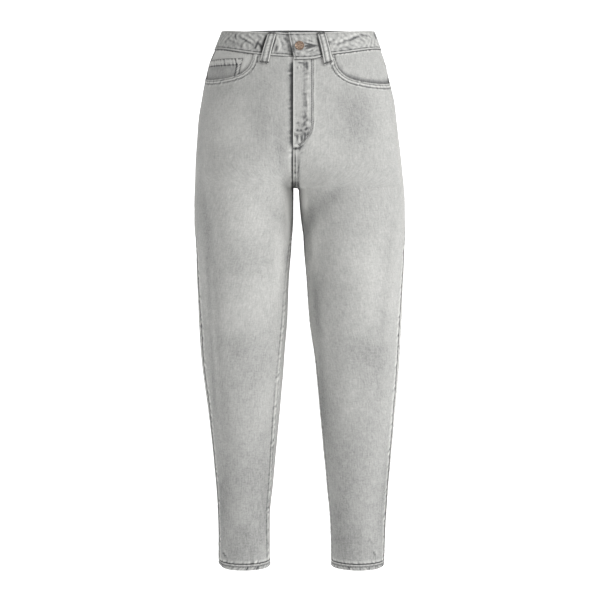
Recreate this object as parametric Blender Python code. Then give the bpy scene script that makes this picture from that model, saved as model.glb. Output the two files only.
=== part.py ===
"""High-waisted, tapered jeans, hollow and filled out as when they are worn.

Metres, +Z up. The origin is the middle of the waist opening, halfway up the waistband at the sides.
The wearer faces -Y, so the wearer's right leg lies at -X. Each leg surface is a function of two numbers:
around, from 0 at the inseam or centre front, through 0.5 at the side seam, to 1 at the inseam or
centre back, and height. Every piece is a wall made from that surface, moved in or out along its normal.
"""

import math

import bmesh
import bpy
import numpy as np

MM = 0.001

# Cloth and seam sizes
CLOTH = 1.2 * MM
SEAM_GAP = 0.3 * MM
LAY_GAP = 0.55 * MM
POCKET_CLOTH = 1.0 * MM
FOLDED_CLOTH = 2.4 * MM
LOOP_CLOTH = 2.0 * MM

# Main lengths of the cut
HEM_HEIGHT = -977 * MM
HEM_FOLD = 12.5 * MM
CROTCH_HEIGHT = -281 * MM
CROTCH_ARCH = 14 * MM
CROTCH_ARCH_WIDTH = 4 * MM
RISE_CURVE_FRONT = 112 * MM
RISE_CURVE_BACK = 132 * MM
THIGH_BLEND = 90 * MM
THIGH_FILL = {"front": 13 * MM, "back": 4 * MM, "height": -254 * MM, "reach": 56 * MM}
WAIST_SEAM = {"side": -20.5 * MM, "front": -26 * MM, "back": 8.5 * MM}
WAIST_TOP = {"side": 12 * MM, "front": -18.6 * MM, "back": 13.5 * MM}
CENTRE_LINE = -6 * MM

# Half sections of the seat and waist, in millimetres from the origin
TORSO_COLUMNS = ("height", "right", "left", "front", "back")
TORSO_ROWS = (
    (50, 130, 129, -76, 72),
    (12, 141, 139, -83, 84),
    (-20, 154, 151, -88, 92),
    (-41, 163, 158, -92, 98),
    (-78, 173, 167, -100, 110),
    (-115, 180, 177, -106, 122),
    (-152, 186, 182, -110, 131),
    (-190, 189, 187, -112, 136),
    (-227, 191, 191, -113, 136),
    (-264, 192, 195, -113, 132),
    (-301, 193, 198, -112, 127),
)

# Sections of the legs, in millimetres, and how far each seam is turned towards the front, in degrees
LEG_COLUMNS = (
    "height", "right_outer", "right_inner", "left_inner", "left_outer", "front", "back",
    "right_inseam", "right_side", "left_inseam", "left_side",
)
LEG_ROWS = (
    (-115, 180, 6, -6, 177, -92, 112, 0, 0, 0, 0),
    (-190, 189, 6, -6, 187, -100, 120, 0, 0, 0, 0),
    (-264, 192, 6, -6, 195, -108, 122, 0, 0, 0, 0),
    (-301, 193, 7, 0, 198, -108, 118, 4, 3, 0, 3),
    (-339, 193, 9, 4, 198, -105, 112, 8, 8, 0, 8),
    (-376, 191, 13, 7, 198, -100, 104, 12, 12, 0, 12),
    (-450, 188, 18, 16, 194, -93, 91, 17, 17, 0, 16),
    (-525, 184, 20, 22, 191, -86, 83, 21, 20, 2, 19),
    (-599, 179, 26, 32, 186, -80, 77, 24, 21, 4, 21),
    (-673, 169, 32, 39, 180, -72, 72, 26, 20, 6, 22),
    (-748, 160, 39, 46, 174, -64, 68, 25, 17, 6, 20),
    (-822, 152, 46, 53, 167, -57, 64, 22, 13, 5, 16),
    (-896, 149, 52, 60, 162, -50, 57, 17, 9, 3, 11),
    (-977, 149, 52, 62, 159, -45, 52, 12, 6, 0, 7),
)

# Soft folds: where the middle lies, the slope of the fold's line in degrees, and its sizes in millimetres
FOLD_COLUMNS = ("side", "around", "height", "slope", "length", "width", "depth")
FOLDS = (
    (-1, 0.05, -205, 90, 80, 12, 2.0),
    (1, 0.09, -335, 38, 60, 20, 3.0),
    (1, 0.14, -300, 30, 45, 14, 1.6),
    (-1, 0.09, -340, 42, 55, 20, 2.2),
    (-1, 0.385, -420, 88, 210, 14, 2.2),
    (1, 0.385, -450, 88, 180, 14, 1.6),
    (1, 0.10, -480, 75, 90, 22, 2.4),
    (-1, 0.30, -560, 12, 45, 20, 1.8),
    (1, 0.30, -575, -14, 45, 20, 1.8),
    (-1, 0.88, -335, -32, 70, 20, 4.0),
    (1, 0.88, -335, -32, 70, 20, 4.0),
    (-1, 0.78, -372, -18, 60, 18, 3.0),
    (1, 0.78, -376, -18, 60, 18, 3.0),
    (-1, 0.74, -610, 6, 55, 20, 3.4),
    (1, 0.74, -618, -8, 55, 20, 3.4),
    (-1, 0.70, -655, -10, 45, 18, 2.4),
    (1, 0.70, -660, 12, 45, 18, 2.4),
    (-1, 0.25, -905, 10, 35, 14, 1.4),
    (1, 0.25, -915, -8, 35, 14, 1.4),
)
FOLD_GIRTH = 0.56

# Pocket and fly sizes: distances run along the cloth from the centre line, heights are measured down
RIGHT, LEFT = -1, 1
SCOOP_START = {RIGHT: 73 * MM, LEFT: 66 * MM}
SCOOP_HEIGHT = {RIGHT: -79 * MM, LEFT: -86 * MM}
SCOOP_SAG = 8 * MM
SCOOP_SHARES = (0.012, 0.04, 0.08, 0.14, 0.22, 0.31, 0.41, 0.51, 0.61, 0.71, 0.81, 0.905, 1.0)
FACING_MARGIN = 14 * MM
FLY_WIDTH = 34 * MM
FLY_FOOT = -205 * MM
FLY_STRAIGHT_END = -158 * MM
YOKE_SIDE = 34 * MM
YOKE_CENTRE = 62 * MM
BACK_POCKET_TOP = 22 * MM
BACK_POCKET_INSET = 35 * MM
BACK_POCKET_WIDTH = 138 * MM
BACK_POCKET_FOOT_WIDTH = 118 * MM
BACK_POCKET_SIDE = 126 * MM
BACK_POCKET_POINT = 22 * MM
COIN_TOP = (98 * MM, -56 * MM)
COIN_FOOT = (112 * MM, -97 * MM)
COIN_RISE = 3 * MM

# Belt loops: distance round the waist from the centre front towards the wearer's right, and their lean
LOOP_WIDTH = 13 * MM
LOOP_COLUMNS = ("above_seam", "stand")
LOOP_ROWS = (
    (-8.0, 0.55),
    (-4.5, 0.9),
    (-1.4, 1.45),
    (4.0, 2.8),
    (9.0, 3.8),
    (16.0, 4.3),
    (23.0, 4.2),
    (29.0, 3.6),
    (34.0, 2.4),
    (37.6, 1.4),
)
LOOP_PLACES = {
    "belt_loop_front_right": (49.5 * MM, -6 * MM),
    "belt_loop_back_right": (258 * MM, 0.0),
    "belt_loop_back": (None, 0.0),
    "belt_loop_back_left": (-258 * MM, 0.0),
    "belt_loop_front_left": (-54.5 * MM, 3 * MM),
}
BAND_DEPTH = 38 * MM
BAND_UNDERLAP = 30 * MM
BAND_OVERLAP = 7 * MM
BAND_RAMP = 16 * MM
BAND_PROUD = 1.0 * MM
BUTTON_RADIUS = 8.4 * MM
BUTTON_INSET = 16 * MM

# Colours of the washed cloth and the copper button
DENIM = (0.47, 0.47, 0.46, 1.0)
DARK_DENIM = (0.24, 0.24, 0.24, 1.0)
COPPER = (0.42, 0.27, 0.19, 1.0)


def column(rows, columns, name, height):
    """One named column of a table, read at the given heights along a smooth curve without overshoot."""
    table = np.array(rows, float)[::-1] * MM
    if name.endswith(("inseam", "side")):
        table[:, columns.index(name)] /= MM
    knots = table[:, 0]
    values = table[:, columns.index(name)]
    steps = np.diff(values) / np.diff(knots)
    slopes = np.concatenate([steps[:1], (steps[:-1] + steps[1:]) / 2, steps[-1:]])
    turning = np.concatenate([[False], steps[:-1] * steps[1:] <= 0, [False]])
    slopes[turning] = 0.0
    at = np.clip(height, knots[0], knots[-1])
    place = np.clip(np.searchsorted(knots, at) - 1, 0, len(knots) - 2)
    span = knots[place + 1] - knots[place]
    t = (at - knots[place]) / span
    start = values[place] * (1 + 2 * t) * (1 - t) ** 2 + slopes[place] * span * t * (1 - t) ** 2
    end = values[place + 1] * t**2 * (3 - 2 * t) + slopes[place + 1] * span * t**2 * (t - 1)
    return start + end


def torso(name, height):
    """A column of the torso table."""
    return column(TORSO_ROWS, TORSO_COLUMNS, name, height)


def leg(name, height):
    """A column of the leg table."""
    return column(LEG_ROWS, LEG_COLUMNS, name, height)


def smooth(x):
    """0 below 0, 1 above 1, with a soft start and end between."""
    t = np.clip(x, 0.0, 1.0)
    return t * t * (3 - 2 * t)


def quarter_round(t):
    """Height of a quarter circle: rises steeply from 0 and is level at 1."""
    return np.sqrt(np.clip(1 - (1 - np.clip(t, 0, 1)) ** 2, 0, 1))


def waist_line(around, line):
    """Height of the waistband's seam or top edge: it dips to the front and rises to the back."""
    turn = np.sin((np.asarray(around, float) - 0.5) * math.pi)
    front = line["front"] * np.abs(turn) ** 2.6
    back = line["back"] * np.abs(turn) ** 1.2
    return line["side"] + np.where(turn < 0, front, back)


def waist_seam(around):
    """Height of the seam below the waistband."""
    return waist_line(around, WAIST_SEAM)


def seat_surface(side, around, height):
    """Half ellipse from the centre front round the hip to the centre back, at one height."""
    turn = (around - 0.5) * math.pi
    outer = np.where(side < 0, torso("right", height), torso("left", height))
    reach = outer - side * CENTRE_LINE
    depth = np.where(turn < 0, -torso("front", height), torso("back", height))
    return CENTRE_LINE + side * reach * np.cos(turn), depth * np.sin(turn)


def leg_surface(side, around, height):
    """Closed ring round one leg, at one height, starting and ending at the inseam."""
    word = "right" if side < 0 else "left"
    outer = leg(word + "_outer", height)
    inner = leg(word + "_inner", height)
    arch = CROTCH_ARCH_WIDTH * (quarter_round((CROTCH_HEIGHT - height) / CROTCH_ARCH) - 1)
    inner = np.where(height < CROTCH_HEIGHT, inner + arch * (height > -0.33), side * CENTRE_LINE)
    inner = np.where(height < CROTCH_HEIGHT, np.maximum(inner, side * CENTRE_LINE), inner)
    seam_in = np.radians(leg(word + "_inseam", height))
    seam_out = math.pi - np.radians(leg(word + "_side", height))
    part = around % 1.0
    front_turn = seam_in + (seam_out - seam_in) * part * 2
    back_turn = seam_out + (2 * math.pi + seam_in - seam_out) * (part * 2 - 1)
    turn = np.where(part < 0.5, front_turn, back_turn)
    front = leg("front", height)
    back = leg("back", height)
    middle = (front + back) / 2
    across = (outer - inner) / 2 * -np.cos(turn)
    return side * ((outer + inner) / 2 + across), middle - (back - front) / 2 * np.sin(turn)


def plain_surface(side, around, height):
    """The garment without folds: the leg's ring opens into the seat's half ellipse above the crotch."""
    around, height = np.broadcast_arrays(np.asarray(around, float), np.asarray(height, float))
    seat_x, seat_y = seat_surface(side, around, height)
    leg_x, leg_y = leg_surface(side, around, height)
    above = height - CROTCH_HEIGHT
    front = quarter_round(above / RISE_CURVE_FRONT)
    back = quarter_round(above / RISE_CURVE_BACK)
    rise = np.where(above > 0, front + (back - front) * smooth(around), 0.0)
    thigh = smooth((above + THIGH_BLEND) / (THIGH_BLEND + RISE_CURVE_FRONT))
    outward = smooth(np.minimum(around % 1.0, 1 - around % 1.0) / 0.2)
    share = rise + (thigh - rise) * outward
    x = leg_x + (seat_x - leg_x) * share
    y = leg_y + (seat_y - leg_y) * share
    turn = np.sin(2 * math.pi * around)
    fill = np.where(turn > 0, THIGH_FILL["front"], THIGH_FILL["back"])
    y = y - fill * turn * np.exp(-(((height - THIGH_FILL["height"]) / THIGH_FILL["reach"]) ** 2))
    return np.stack([x, y, height], axis=-1)


def normals_of(surface, side, around, height):
    """Outward normals of a surface, from its slopes round the leg and along its height."""
    turn_step, height_step = 0.004, 0.6 * MM
    open_seam = height > CROTCH_HEIGHT
    low = np.where(open_seam, np.maximum(around - turn_step, 0.0), around - turn_step)
    high = np.where(open_seam, np.minimum(around + turn_step, 1.0), around + turn_step)
    round_slope = surface(side, high, height) - surface(side, low, height)
    up_slope = surface(side, around, height + height_step) - surface(side, around, height - height_step)
    normal = np.cross(round_slope, up_slope) * side
    return normal / np.maximum(np.linalg.norm(normal, axis=-1, keepdims=True), 1e-12)


def fold_depth(side, around, height):
    """How far the soft folds push the cloth in: each is a bell across its line, fading at both ends."""
    total = np.zeros(np.broadcast(around, height).shape)
    for fold in FOLDS:
        row = dict(zip(FOLD_COLUMNS, fold))
        if row["side"] != side:
            continue
        out = (around - row["around"]) * FOLD_GIRTH
        up = height - row["height"] * MM
        slope = math.radians(row["slope"])
        along = out * math.cos(slope) + up * math.sin(slope)
        across = up * math.cos(slope) - out * math.sin(slope)
        bell = np.exp(-((across / (row["width"] * MM)) ** 2) - (along / (row["length"] * MM)) ** 2)
        total = total + row["depth"] * MM * bell
    return total


def cloth_surface(side, around, height):
    """The garment's outer face, with its folds."""
    around, height = np.broadcast_arrays(np.asarray(around, float), np.asarray(height, float))
    normal = normals_of(plain_surface, side, around, height)
    depth = fold_depth(side, around % 1.0, height)
    return plain_surface(side, around, height) - normal * depth[..., None]


def cloth_points(side, around, height, lift=0.0):
    """Points of the cloth moved along its normal by lift, kept on their own side of the centre line."""
    around, height = np.broadcast_arrays(np.asarray(around, float), np.asarray(height, float))
    normal = normals_of(cloth_surface, side, around, height)
    lift = np.broadcast_to(lift, height.shape)[..., None]
    points = cloth_surface(side, around, height) + normal * lift
    reach = np.maximum(side * (points[..., 0] - CENTRE_LINE), SEAM_GAP / 2)
    points[..., 0] = CENTRE_LINE + side * reach
    return points


def around_at(side, distance, height, from_back=False):
    """The around value that lies a distance along the cloth from the centre front or the centre back."""
    distance, height = np.broadcast_arrays(np.asarray(distance, float), np.asarray(height, float))
    samples = np.linspace(0.0, 1.0, 241)
    ring = plain_surface(side, samples, height.ravel()[:, None])
    lengths = np.linalg.norm(np.diff(ring, axis=1), axis=-1)
    walked = np.concatenate([np.zeros((len(ring), 1)), np.cumsum(lengths, axis=1)], axis=1)
    if from_back:
        wanted = walked[:, -1] - distance.ravel()
    else:
        wanted = distance.ravel()
    found = [np.interp(w, row, samples) for w, row in zip(wanted, walked)]
    return np.array(found).reshape(height.shape)


def girth(side, height):
    """Length of the cloth round one side at each height."""
    samples = np.linspace(0.0, 1.0, 121)
    ring = plain_surface(side, samples, np.asarray(height, float).ravel()[:, None])
    return np.linalg.norm(np.diff(ring, axis=1), axis=-1).sum(axis=1).reshape(np.shape(height))


def material(name, colour, roughness, metallic=0.0):
    """A plain material with the part's colour."""
    made = bpy.data.materials.new(name)
    made.use_nodes = True
    shader = made.node_tree.nodes["Principled BSDF"]
    shader.inputs["Base Color"].default_value = colour
    shader.inputs["Roughness"].default_value = roughness
    shader.inputs["Metallic"].default_value = metallic
    return made


def add_object(name, points, faces, finish):
    """A closed mesh object with its faces pointing out."""
    mesh = bpy.data.meshes.new(name)
    mesh.from_pydata([tuple(p) for p in points], [], faces)
    shape = bmesh.new()
    shape.from_mesh(mesh)
    bmesh.ops.recalc_face_normals(shape, faces=shape.faces)
    if shape.calc_volume(signed=True) < 0:
        bmesh.ops.reverse_faces(shape, faces=shape.faces)
    shape.to_mesh(mesh)
    shape.free()
    mesh.shade_smooth()
    mesh.set_sharp_from_angle(angle=math.radians(50))
    mesh.materials.append(finish)
    made = bpy.data.objects.new(name, mesh)
    bpy.context.scene.collection.objects.link(made)
    return made


def wall_faces(rows, columns, closed):
    """Faces of a wall: an outer grid, the same grid inside, and a rim round the open edges."""
    count = rows * columns
    last = columns if closed else columns - 1
    faces = []
    for row in range(rows - 1):
        for place in range(last):
            following = (place + 1) % columns
            quad = [row * columns + place, row * columns + following]
            quad += [(row + 1) * columns + following, (row + 1) * columns + place]
            faces.append(tuple(quad))
            faces.append(tuple(count + corner for corner in reversed(quad)))
    for row in (0, rows - 1):
        for place in range(last):
            a = row * columns + place
            b = row * columns + (place + 1) % columns
            faces.append((a, b, count + b, count + a))
    if not closed:
        for place in (0, columns - 1):
            for row in range(rows - 1):
                a = row * columns + place
                b = a + columns
                faces.append((a, b, count + b, count + a))
    return faces


def add_wall(name, outer, inner, finish, closed=False):
    """A wall between two grids of points with the same rows and columns."""
    rows, columns = outer.shape[:2]
    points = np.concatenate([outer.reshape(-1, 3), inner.reshape(-1, 3)])
    return add_object(name, points, wall_faces(rows, columns, closed), finish)


def front_columns(side):
    """Around values of the front panel's columns: even to the pocket's start, then closer on its curve."""
    start = float(around_at(side, SCOOP_START[side], waist_seam(0.15)))
    return np.concatenate([np.linspace(0.0, start, 5), start + (0.5 - start) * np.array(SCOOP_SHARES)])


def front_top(side, around):
    """Height of the front panel's top edge: the waist seam, then a quarter oval down to the side seam."""
    start = float(around_at(side, SCOOP_START[side], waist_seam(0.15)))
    share = np.clip((0.5 - around) / (0.5 - start), 0, 1)
    fall = np.where(around > start, np.clip(1 - share**7.5, 0, 1) ** 0.5, 0.0)
    seam = waist_seam(around)
    foot = SCOOP_HEIGHT[side] - SCOOP_SAG * np.sin(math.pi * share)
    return seam + (foot - seam) * fall


def seam_inset(side, around, height):
    """Moves the first and last column off the seam by half the seam gap."""
    share = SEAM_GAP * 0.7 / girth(side, height[:, 0])
    moved = around.copy()
    closed = np.where(height[:, 0] > CROTCH_HEIGHT, 0.0, 1.0)
    if around[0, 0] < 0.25:
        moved[:, 0] += share * closed
        moved[:, -1] -= share
    else:
        moved[:, 0] += share
        moved[:, -1] -= share * closed
    return moved


def panel_heights(top):
    """Heights of a leg panel's rows for each column: close together round the crotch, even elsewhere."""
    leg_rows = np.linspace(HEM_HEIGHT + HEM_FOLD + SEAM_GAP, -340 * MM, 22)
    near = CROTCH_HEIGHT + np.array([-38, -20, -9, -3, 0, 1, 4, 10, 20, 34]) * MM
    shares = np.linspace(0.0, 1.0, 10)[1:]
    rows = [np.full_like(top, z) for z in (*leg_rows, *near)]
    rows += [near[-1] + (top - near[-1]) * share for share in shares]
    return np.array(rows)


def add_front(side, word, finish):
    """One front panel, from the hem to the waist seam, with the pocket's scoop cut from its top corner."""
    columns = front_columns(side)
    height = panel_heights(front_top(side, columns) - SEAM_GAP / 2)
    around = seam_inset(side, np.broadcast_to(columns, height.shape), height)
    outer = cloth_points(side, around, height)
    inner = cloth_points(side, around, height, -CLOTH)
    return add_wall("front_" + word, outer, inner, finish)


def yoke_line(around):
    """Height of the seam between the yoke and the back panel: lowest at the centre back."""
    share = (around - 0.5) * 2
    return waist_seam(around) - (YOKE_SIDE + (YOKE_CENTRE - YOKE_SIDE) * share)


def add_back(side, word, finish):
    """One back panel, from the hem to the yoke seam."""
    columns = np.linspace(0.5, 1.0, 15)
    height = panel_heights(yoke_line(columns) - SEAM_GAP / 2)
    around = seam_inset(side, np.broadcast_to(columns, height.shape), height)
    outer = cloth_points(side, around, height)
    inner = cloth_points(side, around, height, -CLOTH)
    return add_wall("back_" + word, outer, inner, finish)


def add_yoke(side, word, finish):
    """The V-shaped piece between the back panel and the waistband."""
    columns = np.linspace(0.5, 1.0, 15)
    foot = yoke_line(columns) + SEAM_GAP / 2
    top = waist_seam(columns) - SEAM_GAP / 2
    height = foot + (top - foot) * np.linspace(0, 1, 4)[:, None]
    around = seam_inset(side, np.broadcast_to(columns, height.shape), height)
    outer = cloth_points(side, around, height)
    inner = cloth_points(side, around, height, -CLOTH)
    return add_wall("yoke_" + word, outer, inner, finish)


def facing_lift(side, around, height):
    """Outer face of the pocket facing: under the front panel's edge, rising to the seams above it."""
    above = height - front_top(side, around)
    under = CLOTH + LAY_GAP
    room = POCKET_CLOTH + LAY_GAP if side == RIGHT else 0.0
    rise = (under - SEAM_GAP) * smooth((above - 3 * MM) / (16 * MM))
    return rise - under - room


def add_facing(side, word, finish):
    """The cloth seen in the pocket opening, which runs on a little way under the front panel."""
    columns = front_columns(side)[3:]
    top = waist_seam(columns) - SEAM_GAP / 2
    foot = np.minimum(front_top(side, columns), top) - FACING_MARGIN
    height = foot + (top - foot) * np.linspace(0, 1, 8)[:, None]
    around = np.broadcast_to(columns, height.shape).copy()
    around[:, -1] -= SEAM_GAP * 0.7 / girth(side, height[:, -1])
    lift = facing_lift(side, around, height)
    outer = cloth_points(side, around, height, lift)
    inner = cloth_points(side, around, height, lift - POCKET_CLOTH)
    return add_wall("pocket_facing_" + word, outer, inner, finish)


def add_coin_pocket(finish):
    """The small patch pocket on the wearer's right facing, running under the front panel's edge."""
    up = np.linspace(0, 1, 6)[:, None]
    edge = float(around_at(RIGHT, COIN_FOOT[0], COIN_FOOT[1]))
    columns = front_columns(RIGHT)
    columns = columns[columns > edge + 0.004]
    columns[-1] -= 2 * MM / FOLD_GIRTH
    top = COIN_TOP[1] + COIN_RISE * np.linspace(0, 1, len(columns) + 1)
    height = COIN_FOOT[1] + (top - COIN_FOOT[1]) * up
    distance = COIN_FOOT[0] + (COIN_TOP[0] - COIN_FOOT[0]) * up[:, 0]
    first = around_at(RIGHT, distance, height[:, 0])
    around = np.broadcast_to(np.concatenate([[0.0], columns]), height.shape).copy()
    around[:, 0] = first
    lift = facing_lift(RIGHT, around, height) + LAY_GAP
    outer = cloth_points(RIGHT, around, height, lift + POCKET_CLOTH)
    inner = cloth_points(RIGHT, around, height, lift)
    return add_wall("coin_pocket", outer, inner, finish)


def add_fly(finish):
    """The fly's J-shaped double layer on the wearer's left front, its free edge on the centre line."""
    across = np.linspace(0, 1, 8)
    distance = FLY_WIDTH * across
    foot = FLY_FOOT + (FLY_STRAIGHT_END - FLY_FOOT) * (1 - np.sqrt(1 - across**2))
    seam = waist_seam(0.03) - 1.2 * MM
    height = foot + (seam - foot) * np.linspace(0, 1, 14)[:, None]
    around = around_at(LEFT, np.broadcast_to(distance, height.shape), height)
    outer = cloth_points(LEFT, around, height, LAY_GAP + POCKET_CLOTH)
    inner = cloth_points(LEFT, around, height, LAY_GAP)
    return add_wall("fly_placket", outer, inner, finish)


def add_back_pocket(side, word, finish):
    """A five-sided patch pocket on the seat, its top edge along the yoke seam."""
    across = np.linspace(-1, 1, 11)
    up = np.linspace(0, 1, 11)[:, None]
    middle = BACK_POCKET_INSET + BACK_POCKET_WIDTH / 2
    width = BACK_POCKET_FOOT_WIDTH + (BACK_POCKET_WIDTH - BACK_POCKET_FOOT_WIDTH) * up
    distance = middle + across * width / 2
    top = yoke_line(0.8) - BACK_POCKET_TOP + (distance - middle) * 0.12
    foot = yoke_line(0.8) - BACK_POCKET_TOP - BACK_POCKET_SIDE
    foot = foot - BACK_POCKET_POINT * (1 - np.abs(across))
    height = foot + (top - foot) * up
    around = around_at(side, distance, height, from_back=True)
    outer = cloth_points(side, around, height, LAY_GAP + POCKET_CLOTH)
    inner = cloth_points(side, around, height, LAY_GAP)
    return add_wall("back_pocket_" + word, outer, inner, finish)


def add_hem(side, word, finish):
    """The folded hem: a ring of doubled cloth below the leg's panels."""
    columns = np.linspace(0, 1, 30, endpoint=False)
    height = HEM_HEIGHT + HEM_FOLD * np.linspace(0, 1, 4)[:, None]
    bulge = np.array([0.2, 0.7, 0.5, 0.1])[:, None] * MM
    height = np.broadcast_to(height, (4, len(columns)))
    outer = cloth_points(side, columns, height, bulge)
    inner = cloth_points(side, columns, height, bulge - FOLDED_CLOTH)
    return add_wall("hem_" + word, outer, inner, finish, closed=True)


def seat_points(side, around, height):
    """Points of the seat's plain half ellipse."""
    x, y = seat_surface(side, around, height)
    return np.stack([x, y, height], axis=-1)


def waist_lengths(side):
    """Around values, and how far along the waist each lies from the centre front."""
    samples = np.linspace(0.0, 1.0, 721)
    ring = seat_points(side, samples, np.zeros_like(samples))
    steps = np.linalg.norm(np.diff(ring, axis=0), axis=1)
    return samples, np.concatenate([[0.0], np.cumsum(steps)])


def waist_girths():
    """Half girths of the waist on the wearer's right and left."""
    return waist_lengths(RIGHT)[1][-1], waist_lengths(LEFT)[1][-1]


def waist_place(distance):
    """Side and around values at distances round the waist from the centre front, right positive."""
    right, left = waist_girths()
    turned = distance % (right + left)
    samples, walked = waist_lengths(RIGHT)
    right_around = np.interp(turned, walked, samples)
    samples, walked = waist_lengths(LEFT)
    left_around = np.interp(right + left - turned, walked, samples)
    on_right = turned <= right
    return np.where(on_right, RIGHT, LEFT), np.where(on_right, right_around, left_around)


def band_points(distance, up, lift):
    """Points of the waistband: distance round the waist, share of its height, and lift off the cloth."""
    distance, up, lift = np.broadcast_arrays(distance, up, lift)
    side, around = waist_place(distance)
    seam = waist_line(around, WAIST_SEAM)
    height = seam + (waist_line(around, WAIST_TOP) - seam) * up
    point = seat_points(side, around, height)
    ahead = seat_points(*waist_place(distance + MM), height)
    behind = seat_points(*waist_place(distance - MM), height)
    above = seat_points(side, around, height + MM)
    normal = np.cross(above - point, ahead - behind)
    normal /= np.linalg.norm(normal, axis=-1, keepdims=True)
    return point + normal * lift[..., None]


def add_waistband(finish):
    """One band right round the waist: its wearer's left end laps over the start of the right end."""
    whole = sum(waist_girths())
    near = np.linspace(-BAND_UNDERLAP, BAND_OVERLAP + BAND_RAMP + 8 * MM, 8)
    places = np.concatenate([near, np.linspace(near[-1], whole + BAND_OVERLAP, 60)[1:]])
    covered = 1 - smooth((places - BAND_OVERLAP - 4 * MM) / BAND_RAMP)
    lift = BAND_PROUD - (FOLDED_CLOTH + SEAM_GAP + LAY_GAP) * covered
    ups = np.linspace(0.006, 1.0, 4)[:, None]
    lift = lift + 0.4 * MM * np.sin(math.pi * ups)
    outer = band_points(places, ups, lift)
    inner = band_points(places, ups, lift - FOLDED_CLOTH)
    return add_wall("waistband", outer, inner, finish)


def add_loop(name, distance, lean, finish):
    """A belt loop: a folded strip from the band's top edge to below its seam, standing off the band."""
    if distance is None:
        distance = waist_girths()[0]
    table = np.array(LOOP_ROWS) * MM
    ups = table[:, [LOOP_COLUMNS.index("above_seam")]] / BAND_DEPTH
    stand = table[:, [LOOP_COLUMNS.index("stand")]]
    across = np.linspace(-0.5, 0.5, 3) * LOOP_WIDTH
    places = distance + lean * (ups - 0.5) + across
    outer = band_points(places, ups, stand + LOOP_CLOTH)
    inner = band_points(places, ups, stand)
    return add_wall(name, outer, inner, finish)


def add_button(finish):
    """A domed metal shank button on the lapped end of the waistband."""
    distance = BAND_OVERLAP - BUTTON_INSET
    foot, tip = band_points(distance, 0.5, BAND_PROUD + np.array([0.9, 1.9]) * MM)
    axis = (tip - foot) / np.linalg.norm(tip - foot)
    level = np.cross(axis, [0, 0, 1.0])
    level /= np.linalg.norm(level)
    upright = np.cross(level, axis)
    profile = ((0.0, 0.55), (1.2, 0.55), (1.5, 0.92), (2.3, 1.0), (3.0, 0.93), (3.2, 0.8), (3.0, 0.66), (3.5, 0.4))
    turns = np.linspace(0, 2 * math.pi, 20, endpoint=False)
    points = []
    for rise, share in profile:
        ring = np.outer(np.cos(turns), level) + np.outer(np.sin(turns), upright)
        points += list(foot + axis * rise * MM + ring * share * BUTTON_RADIUS)
    points += [foot, foot + axis * 3.6 * MM]
    count = len(turns)
    faces = []
    for row in range(len(profile) - 1):
        for place in range(count):
            a = row * count + place
            b = row * count + (place + 1) % count
            faces.append((a, b, b + count, a + count))
    first, last = len(points) - 2, len(points) - 1
    top = (len(profile) - 1) * count
    for place in range(count):
        following = (place + 1) % count
        faces.append((first, following, place))
        faces.append((last, top + place, top + following))
    return add_object("waist_button", points, faces, finish)


def main():
    """Clears the scene and builds every piece."""
    for old in list(bpy.data.objects):
        bpy.data.objects.remove(old)
    denim = material("washed_denim", DENIM, 0.85)
    dark = material("pocket_denim", DARK_DENIM, 0.88)
    copper = material("copper_button", COPPER, 0.4, 0.9)
    for side, word in ((RIGHT, "right"), (LEFT, "left")):
        add_front(side, word, denim)
        add_back(side, word, denim)
        add_yoke(side, word, denim)
        add_facing(side, word, dark)
        add_back_pocket(side, word, denim)
        add_hem(side, word, denim)
    add_coin_pocket(dark)
    add_fly(denim)
    add_waistband(denim)
    for name, (distance, lean) in LOOP_PLACES.items():
        add_loop(name, distance, lean, denim)
    add_button(copper)


main()
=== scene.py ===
"""Looks of the high-waisted, washed denim jeans: fine cloth shells, seams, sewing, button and studio.

Metres, +Z up, the wearer faces -Y and the wearer's right leg lies at -X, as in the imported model.
"""

import logging
import math
from dataclasses import dataclass, field
from enum import Enum
from typing import Any, Callable, Iterable, Sequence

import bmesh
import bpy
import numpy as np
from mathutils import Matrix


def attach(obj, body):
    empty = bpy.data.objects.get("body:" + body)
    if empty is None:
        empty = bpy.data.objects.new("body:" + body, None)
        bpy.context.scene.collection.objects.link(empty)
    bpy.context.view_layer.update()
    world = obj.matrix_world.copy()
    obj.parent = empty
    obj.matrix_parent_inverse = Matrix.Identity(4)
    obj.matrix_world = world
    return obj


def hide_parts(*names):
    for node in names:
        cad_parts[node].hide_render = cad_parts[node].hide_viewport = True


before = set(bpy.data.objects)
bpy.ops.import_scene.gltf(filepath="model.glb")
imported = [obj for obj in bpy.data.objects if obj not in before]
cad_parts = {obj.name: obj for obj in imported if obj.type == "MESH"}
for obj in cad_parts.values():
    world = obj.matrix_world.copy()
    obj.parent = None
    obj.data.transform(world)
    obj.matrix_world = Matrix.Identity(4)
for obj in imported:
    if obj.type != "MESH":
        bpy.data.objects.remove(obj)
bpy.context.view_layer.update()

LOG = logging.getLogger("jeans")
MM = 0.001
Array = np.ndarray


class Side(Enum):
    """The wearer's two sides, valued by the sign of X."""

    RIGHT = -1
    LEFT = 1

    @property
    def word(self) -> str:
        """The side's name, as the pieces use it."""
        return self.name.lower()


def smooth(x: Any) -> Array:
    """0 below 0 and 1 above 1, with a soft start and end between: t squared times 3 minus 2t."""
    t = np.clip(x, 0.0, 1.0)
    return t * t * (3 - 2 * t)


def bell(x: Any) -> Array:
    """1 at 0, falling to both sides: e to the power of minus x squared."""
    return np.exp(-np.square(x))


def quarter_round(t: Any) -> Array:
    """Height of a quarter circle: rises steeply from 0 and is level at 1."""
    return np.sqrt(np.clip(1 - (1 - np.clip(t, 0, 1)) ** 2, 0, 1))


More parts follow.
